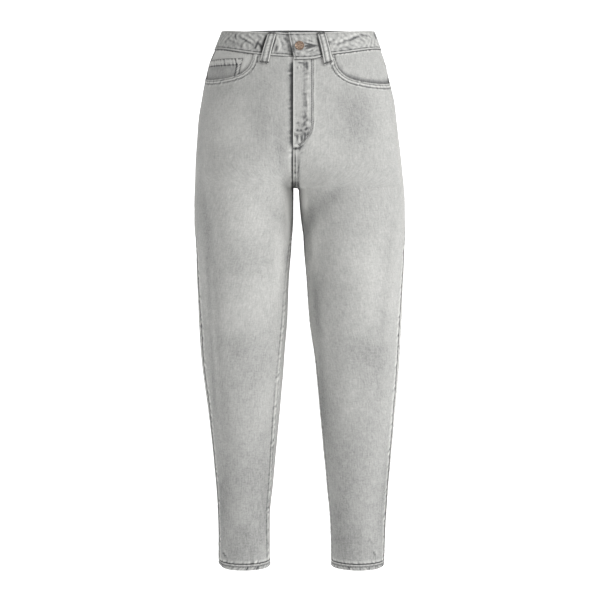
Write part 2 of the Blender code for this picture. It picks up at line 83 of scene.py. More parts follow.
def wobble(t: Any, pitch: float, seed: int) -> Array:
    """Uneven waves of about one pitch, from -1 to 1: four sines of nearby lengths and seeded phases.

    Args:
        t: Distance along the seam, in metres.
        pitch: Usual length of a wave, in metres.
        seed: Picks the phases.

    Returns:
        The wave's height at each distance.
    """
    phases = np.random.default_rng(seed).uniform(0, 2 * math.pi, 5)
    lengths = np.array([0.74, 1.0, 1.37, 1.9]) * pitch
    drift = 0.9 * np.sin(2 * math.pi * np.asarray(t) / (pitch * 6.3) + phases[4])
    waves = [np.sin(2 * math.pi * np.asarray(t) / size + drift + phase) for size, phase in zip(lengths, phases)]
    return (0.6 * waves[0] + waves[1] + 0.8 * waves[2] + 0.5 * waves[3]) / 2.2


def cloud(x: Array, y: Array, size: float, seed: int) -> Array:
    """Soft patches of about one size, from -1 to 1: ten sines in seeded directions, added up."""
    rng = np.random.default_rng(seed)
    total = np.zeros(np.broadcast(x, y).shape)
    for angle, phase, stretch in rng.uniform(0, 1, (10, 3)):
        turn = angle * 2 * math.pi
        along = x * math.cos(turn) + y * math.sin(turn)
        total = total + np.sin(2 * math.pi * (along / (size * (0.7 + stretch)) + phase))
    return np.clip(total / 4, -1, 1)


def spread(low: float, high: float, coarse: float, fine: float, near: Sequence[float], reach: float) -> Array:
    """Places from low to high, fine near the named places and coarse elsewhere.

    The gap is coarse, less a bell round each named place; places are even in the sum of one over the gap.

    Args:
        low: First place.
        high: Last place.
        coarse: Usual gap.
        fine: Gap at the named places.
        near: The named places.
        reach: Width of the fine stretch.

    Returns:
        The places, in rising order.
    """
    walk = np.linspace(low, high, 3000)
    close = np.max([bell((walk - place) / reach) for place in near], axis=0)
    dense = 1 / (coarse - (coarse - fine) * close)
    total = np.concatenate([[0.0], np.cumsum((dense[1:] + dense[:-1]) / 2 * np.diff(walk))])
    return np.interp(np.linspace(0, total[-1], max(3, int(total[-1]) + 2)), total, walk)


@dataclass(frozen=True)
class Table:
    """Sections of the garment: one row for each height, in millimetres or degrees, with named columns."""

    columns: tuple[str, ...]
    rows: tuple[tuple[float, ...], ...]

    def read(self, name: str, height: Array) -> Array:
        """One column at the given heights, along a smooth curve that doesn't overshoot its rows.

        Args:
            name: The column.
            height: Heights in metres.

        Returns:
            Metres, or degrees for a seam's turn.
        """
        table = np.array(self.rows, float)[::-1]
        knots = table[:, 0] * MM
        degrees = name.endswith(("inseam", "side"))
        values = table[:, self.columns.index(name)] * (1 if degrees else MM)
        steps = np.diff(values) / np.diff(knots)
        slopes = np.concatenate([steps[:1], (steps[:-1] + steps[1:]) / 2, steps[-1:]])
        slopes[np.concatenate([[False], steps[:-1] * steps[1:] <= 0, [False]])] = 0.0
        at = np.clip(height, knots[0], knots[-1])
        place = np.clip(np.searchsorted(knots, at) - 1, 0, len(knots) - 2)
        span = knots[place + 1] - knots[place]
        t = (at - knots[place]) / span
        start = values[place] * (1 + 2 * t) * (1 - t) ** 2 + slopes[place] * span * t * (1 - t) ** 2
        return start + values[place + 1] * t**2 * (3 - 2 * t) + slopes[place + 1] * span * t**2 * (t - 1)


@dataclass(frozen=True)
class Fold:
    """A soft trough in the cloth: where its middle lies, its line's slope in degrees, and sizes in metres."""

    side: Side
    around: float
    height: float
    slope: float
    length: float
    width: float
    depth: float

    def depth_at(self, around: Array, height: Array) -> Array:
        """A bell across the fold's line that fades towards both ends, times its depth."""
        out = (around - self.around) * 0.56
        up = height - self.height
        turn = math.radians(self.slope)
        along = out * math.cos(turn) + up * math.sin(turn)
        across = up * math.cos(turn) - out * math.sin(turn)
        return self.depth * bell(across / self.width) * bell(along / self.length)


def fold(side: int, around: float, height: float, slope: float, length: float, width: float, depth: float) -> Fold:
    """A fold from a row of plain numbers, with its sizes in millimetres."""
    return Fold(Side(side), around, height * MM, slope, length * MM, width * MM, depth * MM)


@dataclass
class Figure:
    """The filled-out form: a ring for each leg that opens into half of the seat above the crotch.

    A place on it is a side, around (0 at the inseam or centre front, 0.5 at the side seam, 1 at the inseam
    or centre back) and a height.
    """

    hem: float = -977 * MM
    crotch: float = -277.5 * MM
    arch: float = 6 * MM
    arch_width: float = 3.5 * MM
    rise_front: float = 112 * MM
    rise_back: float = 132 * MM
    thigh_blend: float = 90 * MM
    fill_front: float = 13 * MM
    fill_back: float = 4 * MM
    fill_height: float = -254 * MM
    fill_reach: float = 56 * MM
    centre: float = -8.5 * MM
    seam_line: tuple[float, float, float, float] = (-22.5 * MM, -22 * MM, 10.5 * MM, 2.6)
    top_line: tuple[float, float, float, float] = (11.2 * MM, -11.6 * MM, 14 * MM, 1.8)
    torso: Table = Table(
        ("height", "right", "left", "front", "back"),
        (
            (50, 130, 131, -76, 72),
            (12, 140.5, 141, -83, 84),
            (-20, 153, 152.5, -88, 92),
            (-41, 162, 159.6, -92, 98),
            (-78, 171.5, 168.4, -100, 110),
            (-115, 178, 178, -106, 122),
            (-152, 184, 182.5, -110, 131),
            (-190, 187, 187, -112, 136),
            (-227, 189.5, 191, -113, 136),
            (-264, 191, 195, -113, 132),
            (-301, 193, 198, -112, 127),
        ),
    )
    legs: Table = Table(
        (
            "height", "right_outer", "right_inner", "left_inner", "left_outer", "front", "back",
            "right_inseam", "right_side", "left_inseam", "left_side",
        ),
        (
            (-115, 177, 8.5, -8.5, 177, -92, 112, 0, 0, 0, 0),
            (-190, 187, 8.5, -8.5, 187, -100, 120, 0, 0, 0, 0),
            (-264, 190.5, 8, 0.5, 195, -108, 122, 0, 0, 0, 0),
            (-301, 191.5, 5.5, 2.6, 197.5, -108, 118, 4, 4, 0, 4),
            (-339, 191.5, 7, 6.2, 198, -105, 112, 8, 8, 0, 8),
            (-376, 189, 10.2, 10, 197.5, -100, 104, 12, 12, 0, 12),
            (-450, 186.5, 17, 16.6, 194.5, -93, 91, 17, 18, 0, 17),
            (-525, 183.2, 20, 22, 191.5, -86, 83, 21, 22, 2, 21),
            (-599, 178.2, 26, 32, 187.3, -80, 77, 24, 23, 4, 22),
            (-673, 168.5, 32, 39, 181.2, -72, 72, 26, 23, 6, 22),
            (-748, 159.4, 39, 46, 175, -64, 68, 25, 20, 6, 22),
            (-822, 151.8, 46, 53, 168.2, -57, 64, 22, 18, 5, 20),
            (-896, 147.2, 52, 60, 162.2, -50, 57, 17, 15, 3, 17),
            (-977, 146.6, 52, 62, 159.2, -45, 52, 12, 12, 0, 14),
        ),
    )
    folds: tuple[Fold, ...] = (
        fold(-1, 0.05, -205, 90, 80, 12, 2.0),
        fold(1, 0.09, -335, 38, 60, 20, 3.0),
        fold(1, 0.14, -300, 30, 45, 14, 1.6),
        fold(-1, 0.09, -340, 42, 55, 20, 2.2),
        fold(-1, 0.385, -420, 88, 210, 14, 2.2),
        fold(1, 0.385, -450, 88, 180, 14, 1.6),
        fold(1, 0.10, -480, 75, 90, 22, 2.4),
        fold(-1, 0.30, -560, 12, 45, 20, 1.8),
        fold(1, 0.30, -575, -14, 45, 20, 1.8),
        fold(-1, 0.88, -335, -32, 70, 20, 4.0),
        fold(1, 0.88, -335, -32, 70, 20, 4.0),
        fold(-1, 0.78, -372, -18, 60, 18, 3.0),
        fold(1, 0.78, -376, -18, 60, 18, 3.0),
        fold(-1, 0.74, -610, 6, 55, 20, 3.4),
        fold(1, 0.74, -618, -8, 55, 20, 3.4),
        fold(-1, 0.70, -655, -10, 45, 18, 2.4),
        fold(1, 0.70, -660, 12, 45, 18, 2.4),
        fold(-1, 0.25, -905, 10, 35, 14, 1.4),
        fold(1, 0.25, -915, -8, 35, 14, 1.4),
    )

    def waist_line(self, around: Any, line: tuple[float, float, float, float]) -> Array:
        """Height of the waistband's seam or top edge: its side height, less a dip in front, plus a rise behind.

        Args:
            around: Places round the side.
            line: Height at the side, change to the centre front and to the centre back, and the dip's power.

        Returns:
            The heights.
        """
        turn = np.sin((np.asarray(around, float) - 0.5) * math.pi)
        front = line[1] * np.abs(turn) ** line[3]
        back = line[2] * np.abs(turn) ** 1.2
        return line[0] + np.where(turn < 0, front, back)

    def seat(self, side: Any, around: Array, height: Array) -> tuple[Array, Array]:
        """Half ellipse from the centre front round the hip: X is reach times cosine, Y is depth times sine."""
        turn = (around - 0.5) * math.pi
        outer = np.where(np.asarray(side) < 0, self.torso.read("right", height), self.torso.read("left", height))
        depth = np.where(turn < 0, -self.torso.read("front", height), self.torso.read("back", height))
        return self.centre + side * (outer - side * self.centre) * np.cos(turn), depth * np.sin(turn)

    def leg(self, side: Side, around: Array, height: Array) -> tuple[Array, Array]:
        """Closed ellipse round one leg, turned so that its seams lie where the table puts them."""
        word, sign = side.word, side.value
        outer = self.legs.read(word + "_outer", height)
        inner = self.legs.read(word + "_inner", height)
        arch = self.arch_width * (quarter_round((self.crotch - height) / self.arch) - 1)
        low = np.maximum(inner + arch * (height > -0.33), sign * self.centre)
        inner = np.where(height < self.crotch, low, sign * self.centre)
        seam_in = np.radians(self.legs.read(word + "_inseam", height))
        seam_out = math.pi - np.radians(self.legs.read(word + "_side", height))
        part = around % 1.0
        ahead = seam_in + (seam_out - seam_in) * part * 2
        behind = seam_out + (2 * math.pi + seam_in - seam_out) * (part * 2 - 1)
        turn = np.where(part < 0.5, ahead, behind)
        front = self.legs.read("front", height)
        back = self.legs.read("back", height)
        across = (outer - inner) / 2 * -np.cos(turn)
        return sign * ((outer + inner) / 2 + across), (front + back) / 2 - (back - front) / 2 * np.sin(turn)

    def plain(self, side: Side, around: Any, height: Any) -> Array:
        """Points of the form without folds: the leg's ring, blended into the seat above the crotch."""
        around, height = np.broadcast_arrays(np.asarray(around, float), np.asarray(height, float))
        seat_x, seat_y = self.seat(side.value, around, height)
        leg_x, leg_y = self.leg(side, around, height)
        above = height - self.crotch
        front, back = quarter_round(above / self.rise_front), quarter_round(above / self.rise_back)
        rise = np.where(above > 0, front + (back - front) * smooth(around), 0.0)
        thigh = smooth((above + self.thigh_blend) / (self.thigh_blend + self.rise_front))
        outward = smooth(np.minimum(around % 1.0, 1 - around % 1.0) / 0.2)
        share = rise + (thigh - rise) * outward
        turn = np.sin(2 * math.pi * around)
        fill = np.where(turn > 0, self.fill_front, self.fill_back)
        x = leg_x + (seat_x - leg_x) * share
        y = leg_y + (seat_y - leg_y) * share - fill * turn * bell((height - self.fill_height) / self.fill_reach)
        return np.stack([x, y, height], axis=-1)

    def slopes(self, surface: Callable[[Side, Array, Array], Array], side: Side, around: Array, height: Array) -> Array:
        """Outward normals: the cross product of the slope round the leg and the slope up it."""
        turn_step, height_step = 0.004, 0.6 * MM
        open_seam = height > self.crotch
        low = np.where(open_seam, np.maximum(around - turn_step, 0.0), around - turn_step)
        high = np.where(open_seam, np.minimum(around + turn_step, 1.0), around + turn_step)
        level = surface(side, high, height) - surface(side, low, height)
        up = surface(side, around, height + height_step) - surface(side, around, height - height_step)
        normal = np.cross(level, up) * side.value
        return normal / np.maximum(np.linalg.norm(normal, axis=-1, keepdims=True), 1e-12)

    def folded(self, side: Side, around: Any, height: Any) -> Array:
        """Points of the form with its folds pushed in along the plain form's normals."""
        around, height = np.broadcast_arrays(np.asarray(around, float), np.asarray(height, float))
        depth = np.zeros(around.shape)
        for crease in self.folds:
            if crease.side == side:
                depth = depth + crease.depth_at(around % 1.0, height)
        depth = depth - 0.28 * MM * cloud((around % 1.0) * 0.56, height, 0.06, 9 + side.value)
        return self.plain(side, around, height) - self.slopes(self.plain, side, around, height) * depth[..., None]

    def cloth(self, side: Side, around: Any, height: Any) -> tuple[Array, Array]:
        """Points and outward normals of the cloth."""
        around, height = np.broadcast_arrays(np.asarray(around, float), np.asarray(height, float))
        return self.folded(side, around, height), self.slopes(self.folded, side, around, height)

    def around_at(self, side: Side, distance: Any, height: Any, from_back: bool = False) -> Array:
        """Around values that lie a distance along the cloth from the centre front or back.

        Each height's ring is walked in short steps; the steps add up to a length, which is read backwards.

        Args:
            side: The wearer's side.
            distance: Distances along the cloth.
            height: Heights of the rings.
            from_back: Count from the centre back instead of the centre front.

        Returns:
            The around values.
        """
        distance, height = np.broadcast_arrays(np.asarray(distance, float), np.asarray(height, float))
        samples = np.linspace(0.0, 1.0, 241)
        ring = self.plain(side, samples, height.ravel()[:, None])
        walked = np.cumsum(np.linalg.norm(np.diff(ring, axis=1), axis=-1), axis=1)
        walked = np.concatenate([np.zeros((len(ring), 1)), walked], axis=1)
        wanted = walked[:, -1] - distance.ravel() if from_back else distance.ravel()
        offset = np.arange(len(ring)) * 10.0
        found = np.interp(wanted + offset, (walked + offset[:, None]).ravel(), np.tile(samples, len(ring)))
        return found.reshape(height.shape)

    def girth(self, side: Side, height: float) -> float:
        """Length of the cloth round one side at one height."""
        ring = self.plain(side, np.linspace(0.0, 1.0, 241), height)
        return float(np.linalg.norm(np.diff(ring, axis=0), axis=-1).sum())


@dataclass(frozen=True)
class Seam:
    """Relief along an edge: a raised allowance, sunken sewing lines and uneven puckers, in metres."""

    width: float
    lift: float = 0.0
    pucker: float = 0.0
    pitch: float = 10 * MM
    slant: float = 0.0
    lines: tuple[float, ...] = ()
    groove: float = 0.25 * MM
    # dark sets the painted shade at the edge and in the sewing lines and the painted shadow past a raised allowance;
    # shade sets the tone of the puckers and the allowance; sewn is the share of dark in the sewing lines.
    dark: float = 0.35
    shade: float = 0.12
    seed: int = 1
    sewn: float = 0.35

    def relief(self, distance: Array, along: Array) -> tuple[Array, Array]:
        """Height and tone beside the edge.

        Height is a plateau as wide as the allowance, less a bell at each sewing line, plus waves that fade
        past the allowance. Tone is painted shade at the edge and in the sewing lines, with a painted shadow past a
        raised allowance; it is darker in the waves' valleys and paler on their crests and on the allowance, partly
        wear from washing and partly painted shade and highlight.

        Args:
            distance: Distance from the edge.
            along: Distance along the edge.

        Returns:
            Lift along the normal in metres, and tone from about -1, dark, to 1, light.
        """
        plateau = 1 - smooth((distance - self.width) / (2.2 * MM))
        fade = 1 - smooth((distance - self.width * 0.6) / (self.width * 1.1))
        waves = wobble(along + self.slant * distance, self.pitch, self.seed)
        strength = 0.65 + 0.5 * wobble(along, self.pitch * 5.7, self.seed + 7)
        lift = self.lift * plateau + self.pucker * fade * waves * strength
        tone = -self.dark * bell(distance / (1.1 * MM)) + self.shade * 2.4 * fade * waves * strength
        tone = tone - self.dark * 0.7 * bell((distance - self.width - 1.2 * MM) / (1.3 * MM)) * (self.lift > 0)
        tone = tone + self.shade * plateau
        for line in self.lines:
            sunk = bell((distance - line) / (0.9 * MM))
            lift = lift - self.groove * sunk
            tone = tone - self.dark * self.sewn * sunk
        return lift, tone


@dataclass(frozen=True)
class Stroke:
    """A crease, as seen from the front: a trough, with a ridge along its upper side.

    Place, half length, half width and depth are in millimetres and the slope is in degrees from level.
    Dark and pale are the changes of tone in the trough and on the ridge: painted shade in the trough and a painted
    highlight on the ridge. A stroke without depth only paints shade; with a dark below 0 it paints light.
    """

    x: float
    z: float
    slope: float
    length: float
    width: float
    depth: float
    dark: float
    pale: float = 0.0

    def relief(self, x: Array, z: Array) -> tuple[Array, Array]:
        """Lift in metres and tone: bells across the line, fading towards both of its ends.

        Args:
            x: Places across the garment, in metres.
            z: Heights, in metres.

        Returns:
            Lift along the normal, and tone.
        """
        turn = math.radians(self.slope)
        out, up = x / MM - self.x, z / MM - self.z
        along = (out * math.cos(turn) + up * math.sin(turn)) / self.length
        across = (up * math.cos(turn) - out * math.sin(turn)) / self.width
        ends = np.exp(-(along**4))
        trough, ridge = bell(across) * ends, bell(across - 2) * ends
        return MM * self.depth * (0.5 * ridge - trough), self.pale * ridge - self.dark * trough


@dataclass
class Patch:
    """A grid of cloth: its outer points, distances across and up the cloth, and tone."""

    points: Array
    normals: Array
    across: Array
    up: Array
    tone: Array

    @classmethod
    def lay(cls, points: Array, normals: Array) -> "Patch":
        """A patch with its distances measured along the grid's own rows and columns."""
        steps = np.linalg.norm(np.diff(points, axis=1), axis=-1)
        across = np.concatenate([np.zeros((len(points), 1)), np.cumsum(steps, axis=1)], axis=1)
        rise = np.linalg.norm(np.diff(points, axis=0), axis=-1)
        up = np.concatenate([np.zeros((1, points.shape[1])), np.cumsum(rise, axis=0)], axis=0)
        return cls(points, normals, across, up, np.zeros(points.shape[:2]))

    def left_over(self) -> Array:
        """Distance of each point from its row's last point."""
        return self.across[:, -1:] - self.across

    def press(self, lift: Any, tone: Any = 0.0) -> None:
        """Moves the points along their normals and adds to their tone."""
        self.points = self.points + self.normals * np.broadcast_to(lift, self.tone.shape)[..., None]
        self.tone = self.tone + tone

    def draw(self, strokes: Iterable[Stroke], behind: bool = False) -> None:
        """Presses creases, with their painted shade and highlights, into the part of the cloth that faces the front, or
        the same ones behind.

        Args:
            strokes: The creases, as seen from the front.
            behind: True to press them, turned half round the garment, into the part that faces the back.
        """
        way = -1.0 if behind else 1.0
        facing = smooth((0.3 - way * self.normals[..., 1]) / 0.25)
        lift, tone = np.zeros(self.tone.shape), np.zeros(self.tone.shape)
        for stroke in strokes:
            more, shade = stroke.relief(way * self.points[..., 0], self.points[..., 2])
            lift, tone = lift + more, tone + shade
        self.press(lift * facing, tone * facing)

    def at(self, row: Array, column: Array) -> tuple[Array, Array]:
        """Points and normals at fractional rows and columns: each is the weighted mean of its four corners."""
        rows, columns = self.tone.shape
        row, column = np.clip(row, 0, rows - 1.001), np.clip(column, 0, columns - 1.001)
        i, j = row.astype(int), column.astype(int)
        a, b = (row - i)[..., None], (column - j)[..., None]
        found = []
        for grid in (self.points, self.normals):
            low = grid[i, j] * (1 - b) + grid[i, j + 1] * b
            high = grid[i + 1, j] * (1 - b) + grid[i + 1, j + 1] * b
            found.append(low * (1 - a) + high * a)
        return found[0], found[1]

    def beside(self, distance: float, from_last: bool = False) -> tuple[Array, Array]:
        """A line up the patch, a distance in from its first or last column."""
        walk = self.left_over()[:, ::-1] if from_last else self.across
        rows, columns = walk.shape
        offset = np.arange(rows) * 10.0
        spot = np.tile(np.arange(columns, dtype=float), rows)
        column = np.interp(distance + offset, (walk + offset[:, None]).ravel(), spot)
        column = columns - 1 - column if from_last else column
        return self.at(np.arange(rows, dtype=float), column)

    def below(self, distance: float, from_foot: bool = False) -> tuple[Array, Array]:
        """A line across the patch, a distance in from its last row, or from its first."""
        walk = self.up if from_foot else (self.up[-1:] - self.up)[::-1]
        rows, columns = walk.shape
        offset = np.arange(columns) * 10.0
        spot = np.tile(np.arange(rows, dtype=float), columns)
        row = np.interp(distance + offset, (walk.T + offset[:, None]).ravel(), spot)
        row = row if from_foot else rows - 1 - row
        return self.at(row, np.arange(columns, dtype=float))


class Sock:
    """A shader socket that adds Math nodes when it is used in an expression."""

    def __init__(self, tree: "Shader", socket: bpy.types.NodeSocket) -> None:
        """Wraps an output socket of a shader's tree."""
        self.tree = tree
        self.socket = socket

    def _math(self, operation: str, first: Any, second: Any) -> "Sock":
        """A Math node of two values."""
        return self.tree.node("Math", {"operation": operation}, {0: first, 1: second})

    def __add__(self, other: Any) -> "Sock":
        """Sum."""
        return self._math("ADD", self, other)

    def __radd__(self, other: Any) -> "Sock":
        """Sum with the number first."""
        return self._math("ADD", other, self)

    def __sub__(self, other: Any) -> "Sock":
        """Difference."""
        return self._math("SUBTRACT", self, other)

    def __rsub__(self, other: Any) -> "Sock":
        """Difference from a number."""
        return self._math("SUBTRACT", other, self)

    def __mul__(self, other: Any) -> "Sock":
        """Product."""
        return self._math("MULTIPLY", self, other)

    def __rmul__(self, other: Any) -> "Sock":
        """Product with the number first."""
        return self._math("MULTIPLY", other, self)


class Shader:
    """A material's node tree, with one method that adds any node."""

    def __init__(self, name: str) -> None:
        """Starts a material with its Principled shader."""
        self.material = bpy.data.materials.new(name)
        self.material.use_nodes = True
        self.tree = self.material.node_tree
        self.surface = self.tree.nodes["Principled BSDF"]

    def node(self, kind: str, settings: dict[str, Any], inputs: dict[Any, Any], out: Any = 0) -> Sock:
        """Adds a node.

        Args:
            kind: The node's type, without its ShaderNode prefix.
            settings: Properties, set first; a ramp's stops come under "stops" as (place, colour) pairs.
            inputs: Values or links of its sockets, by name or number.
            out: Name or number of the output to return.

        Returns:
            The output, ready for expressions.
        """
        made = self.tree.nodes.new("ShaderNode" + kind)
        for key, value in settings.items():
            if key == "stops":
                for place, (at, colour) in enumerate(value):
                    stops = made.color_ramp.elements
                    stop = stops[place] if place < 2 else stops.new(at)
                    stop.position, stop.color = at, colour
            else:
                setattr(made, key, value)
        for key, value in inputs.items():
            self.link(value, made.inputs[key])
        return Sock(self, made.outputs[out])

    def link(self, value: Any, socket: bpy.types.NodeSocket) -> None:
        """Joins a wrapped output to a socket, or sets the socket's value."""
        if isinstance(value, Sock):
            self.tree.links.new(value.socket, socket)
        else:
            socket.default_value = value

    def feed(self, **values: Any) -> None:
        """Sets the Principled shader's sockets, named with underscores for spaces."""
        for key, value in values.items():
            self.link(value, self.surface.inputs[key.replace("_", " ")])


@dataclass(frozen=True)
class Denim:
    """Washed twill: pale threads over darker ones, lighter on ridges and darker in hollows, partly wear from washing
    and partly painted shade and highlight.
    """

    name: str
    light: tuple[float, float, float] = (0.60, 0.60, 0.578)
    dark: tuple[float, float, float] = (0.115, 0.117, 0.118)
    # The ramp's darkest stop is painted shadow: near-black lines of shade at the crotch, beside the belt loops and
    # along seams.
    deep: tuple[float, float, float] = (0.022, 0.022, 0.022)
    level: float = 0.66
    mottle: float = 0.13
    streak: float = 0.26
    grain: float = 0.22
    contrast: float = 2.3

    def make(self) -> bpy.types.Material:
        """The material: tone plus streaks along the warp, mottling and twill lines pick a place on a grey ramp.

        Returns:
            The material.
        """
        s = Shader(self.name)
        place = s.node("TexCoord", {}, {}, "Object")
        cloth = s.node("UVMap", {"uv_map": "cloth"}, {})
        tone = s.node("Attribute", {"attribute_name": "tone"}, {}, "Fac")
        warp = s.node("Mapping", {}, {"Vector": cloth, "Scale": (420.0, 62.0, 1.0)})
        weft = s.node("Mapping", {}, {"Vector": cloth, "Scale": (90.0, 520.0, 1.0)})
        streaks = s.node("TexNoise", {}, {"Vector": warp, "Scale": 1.0, "Detail": 3.0, "Roughness": 0.6})
        rows = s.node("TexNoise", {}, {"Vector": weft, "Scale": 1.0, "Detail": 2.0, "Roughness": 0.5})
        patches = s.node("TexNoise", {}, {"Vector": place, "Scale": 55.0, "Detail": 4.0, "Roughness": 0.6})
        specks = s.node("TexNoise", {}, {"Vector": place, "Scale": 330.0, "Detail": 2.0, "Roughness": 0.6})
        twill = s.node(
            "TexWave", {"bands_direction": "DIAGONAL"},
            {"Vector": cloth, "Scale": 520.0, "Distortion": 1.2, "Detail": 1.0, "Detail Scale": 2.0},
        )
        # The tone attribute carries painted shade and highlights as well as the cloth's own uneven tone.
        fade = tone * self.contrast + self.level + (patches - 0.5) * (2 * self.mottle)
        fade = fade + (streaks - 0.5) * (2 * self.streak) + (rows - 0.5) * self.streak
        fade = fade + (specks - 0.5) * (2 * self.grain) + (twill - 0.5) * 0.10
        stops = ((0.0, (*self.deep, 1.0)), (0.5, (*self.dark, 1.0)), (1.0, (*self.light, 1.0)))
        colour = s.node("ValToRGB", {"stops": stops}, {"Fac": fade * 0.5 + 0.5}, "Color")
        relief = twill * 0.35 + streaks * 0.5 + specks * 0.7 + rows * 0.3
        bump = s.node("Bump", {}, {"Height": relief, "Strength": 0.35, "Distance": 0.0005})
        s.feed(Base_Color=colour, Roughness=0.88, Normal=bump, Sheen_Weight=0.05, Sheen_Roughness=0.6)
        return s.material


@dataclass(frozen=True)
class Thread:
    """Pale sewing thread with a fine ply."""

    name: str = "sewing_thread"
    colour: tuple[float, float, float] = (0.56, 0.56, 0.54)

    def make(self) -> bpy.types.Material:
        """The material: a colour broken by fine noise."""
        s = Shader(self.name)
        place = s.node("TexCoord", {}, {}, "Object")
        ply = s.node("TexNoise", {}, {"Vector": place, "Scale": 1800.0, "Detail": 1.0})
        dim = tuple(c * 0.6 for c in self.colour)
        colour = s.node("Mix", {"data_type": "RGBA"}, {0: ply, 6: (*dim, 1.0), 7: (*self.colour, 1.0)}, 2)
        s.feed(Base_Color=colour, Roughness=0.7)
        return s.material


@dataclass(frozen=True)
class Copper:
    """Antique copper of the button, darker in its hollows."""

    name: str = "antique_copper"

    def make(self) -> bpy.types.Material:
        """The material: brushed metal whose worn patches are paler."""
        s = Shader(self.name)
        place = s.node("TexCoord", {}, {}, "Object")
        wear = s.node("TexNoise", {}, {"Vector": place, "Scale": 420.0, "Detail": 3.0})
        colour = s.node(
            "ValToRGB",
            {"stops": ((0.3, (0.14, 0.095, 0.07, 1.0)), (0.72, (0.46, 0.34, 0.26, 1.0)))},
            {"Fac": wear}, "Color",
        )
        bump = s.node("Bump", {}, {"Height": wear, "Strength": 0.2, "Distance": 0.0002})
        s.feed(Base_Color=colour, Roughness=0.38 + wear * 0.15, Metallic=0.85, Normal=bump)
        return s.material


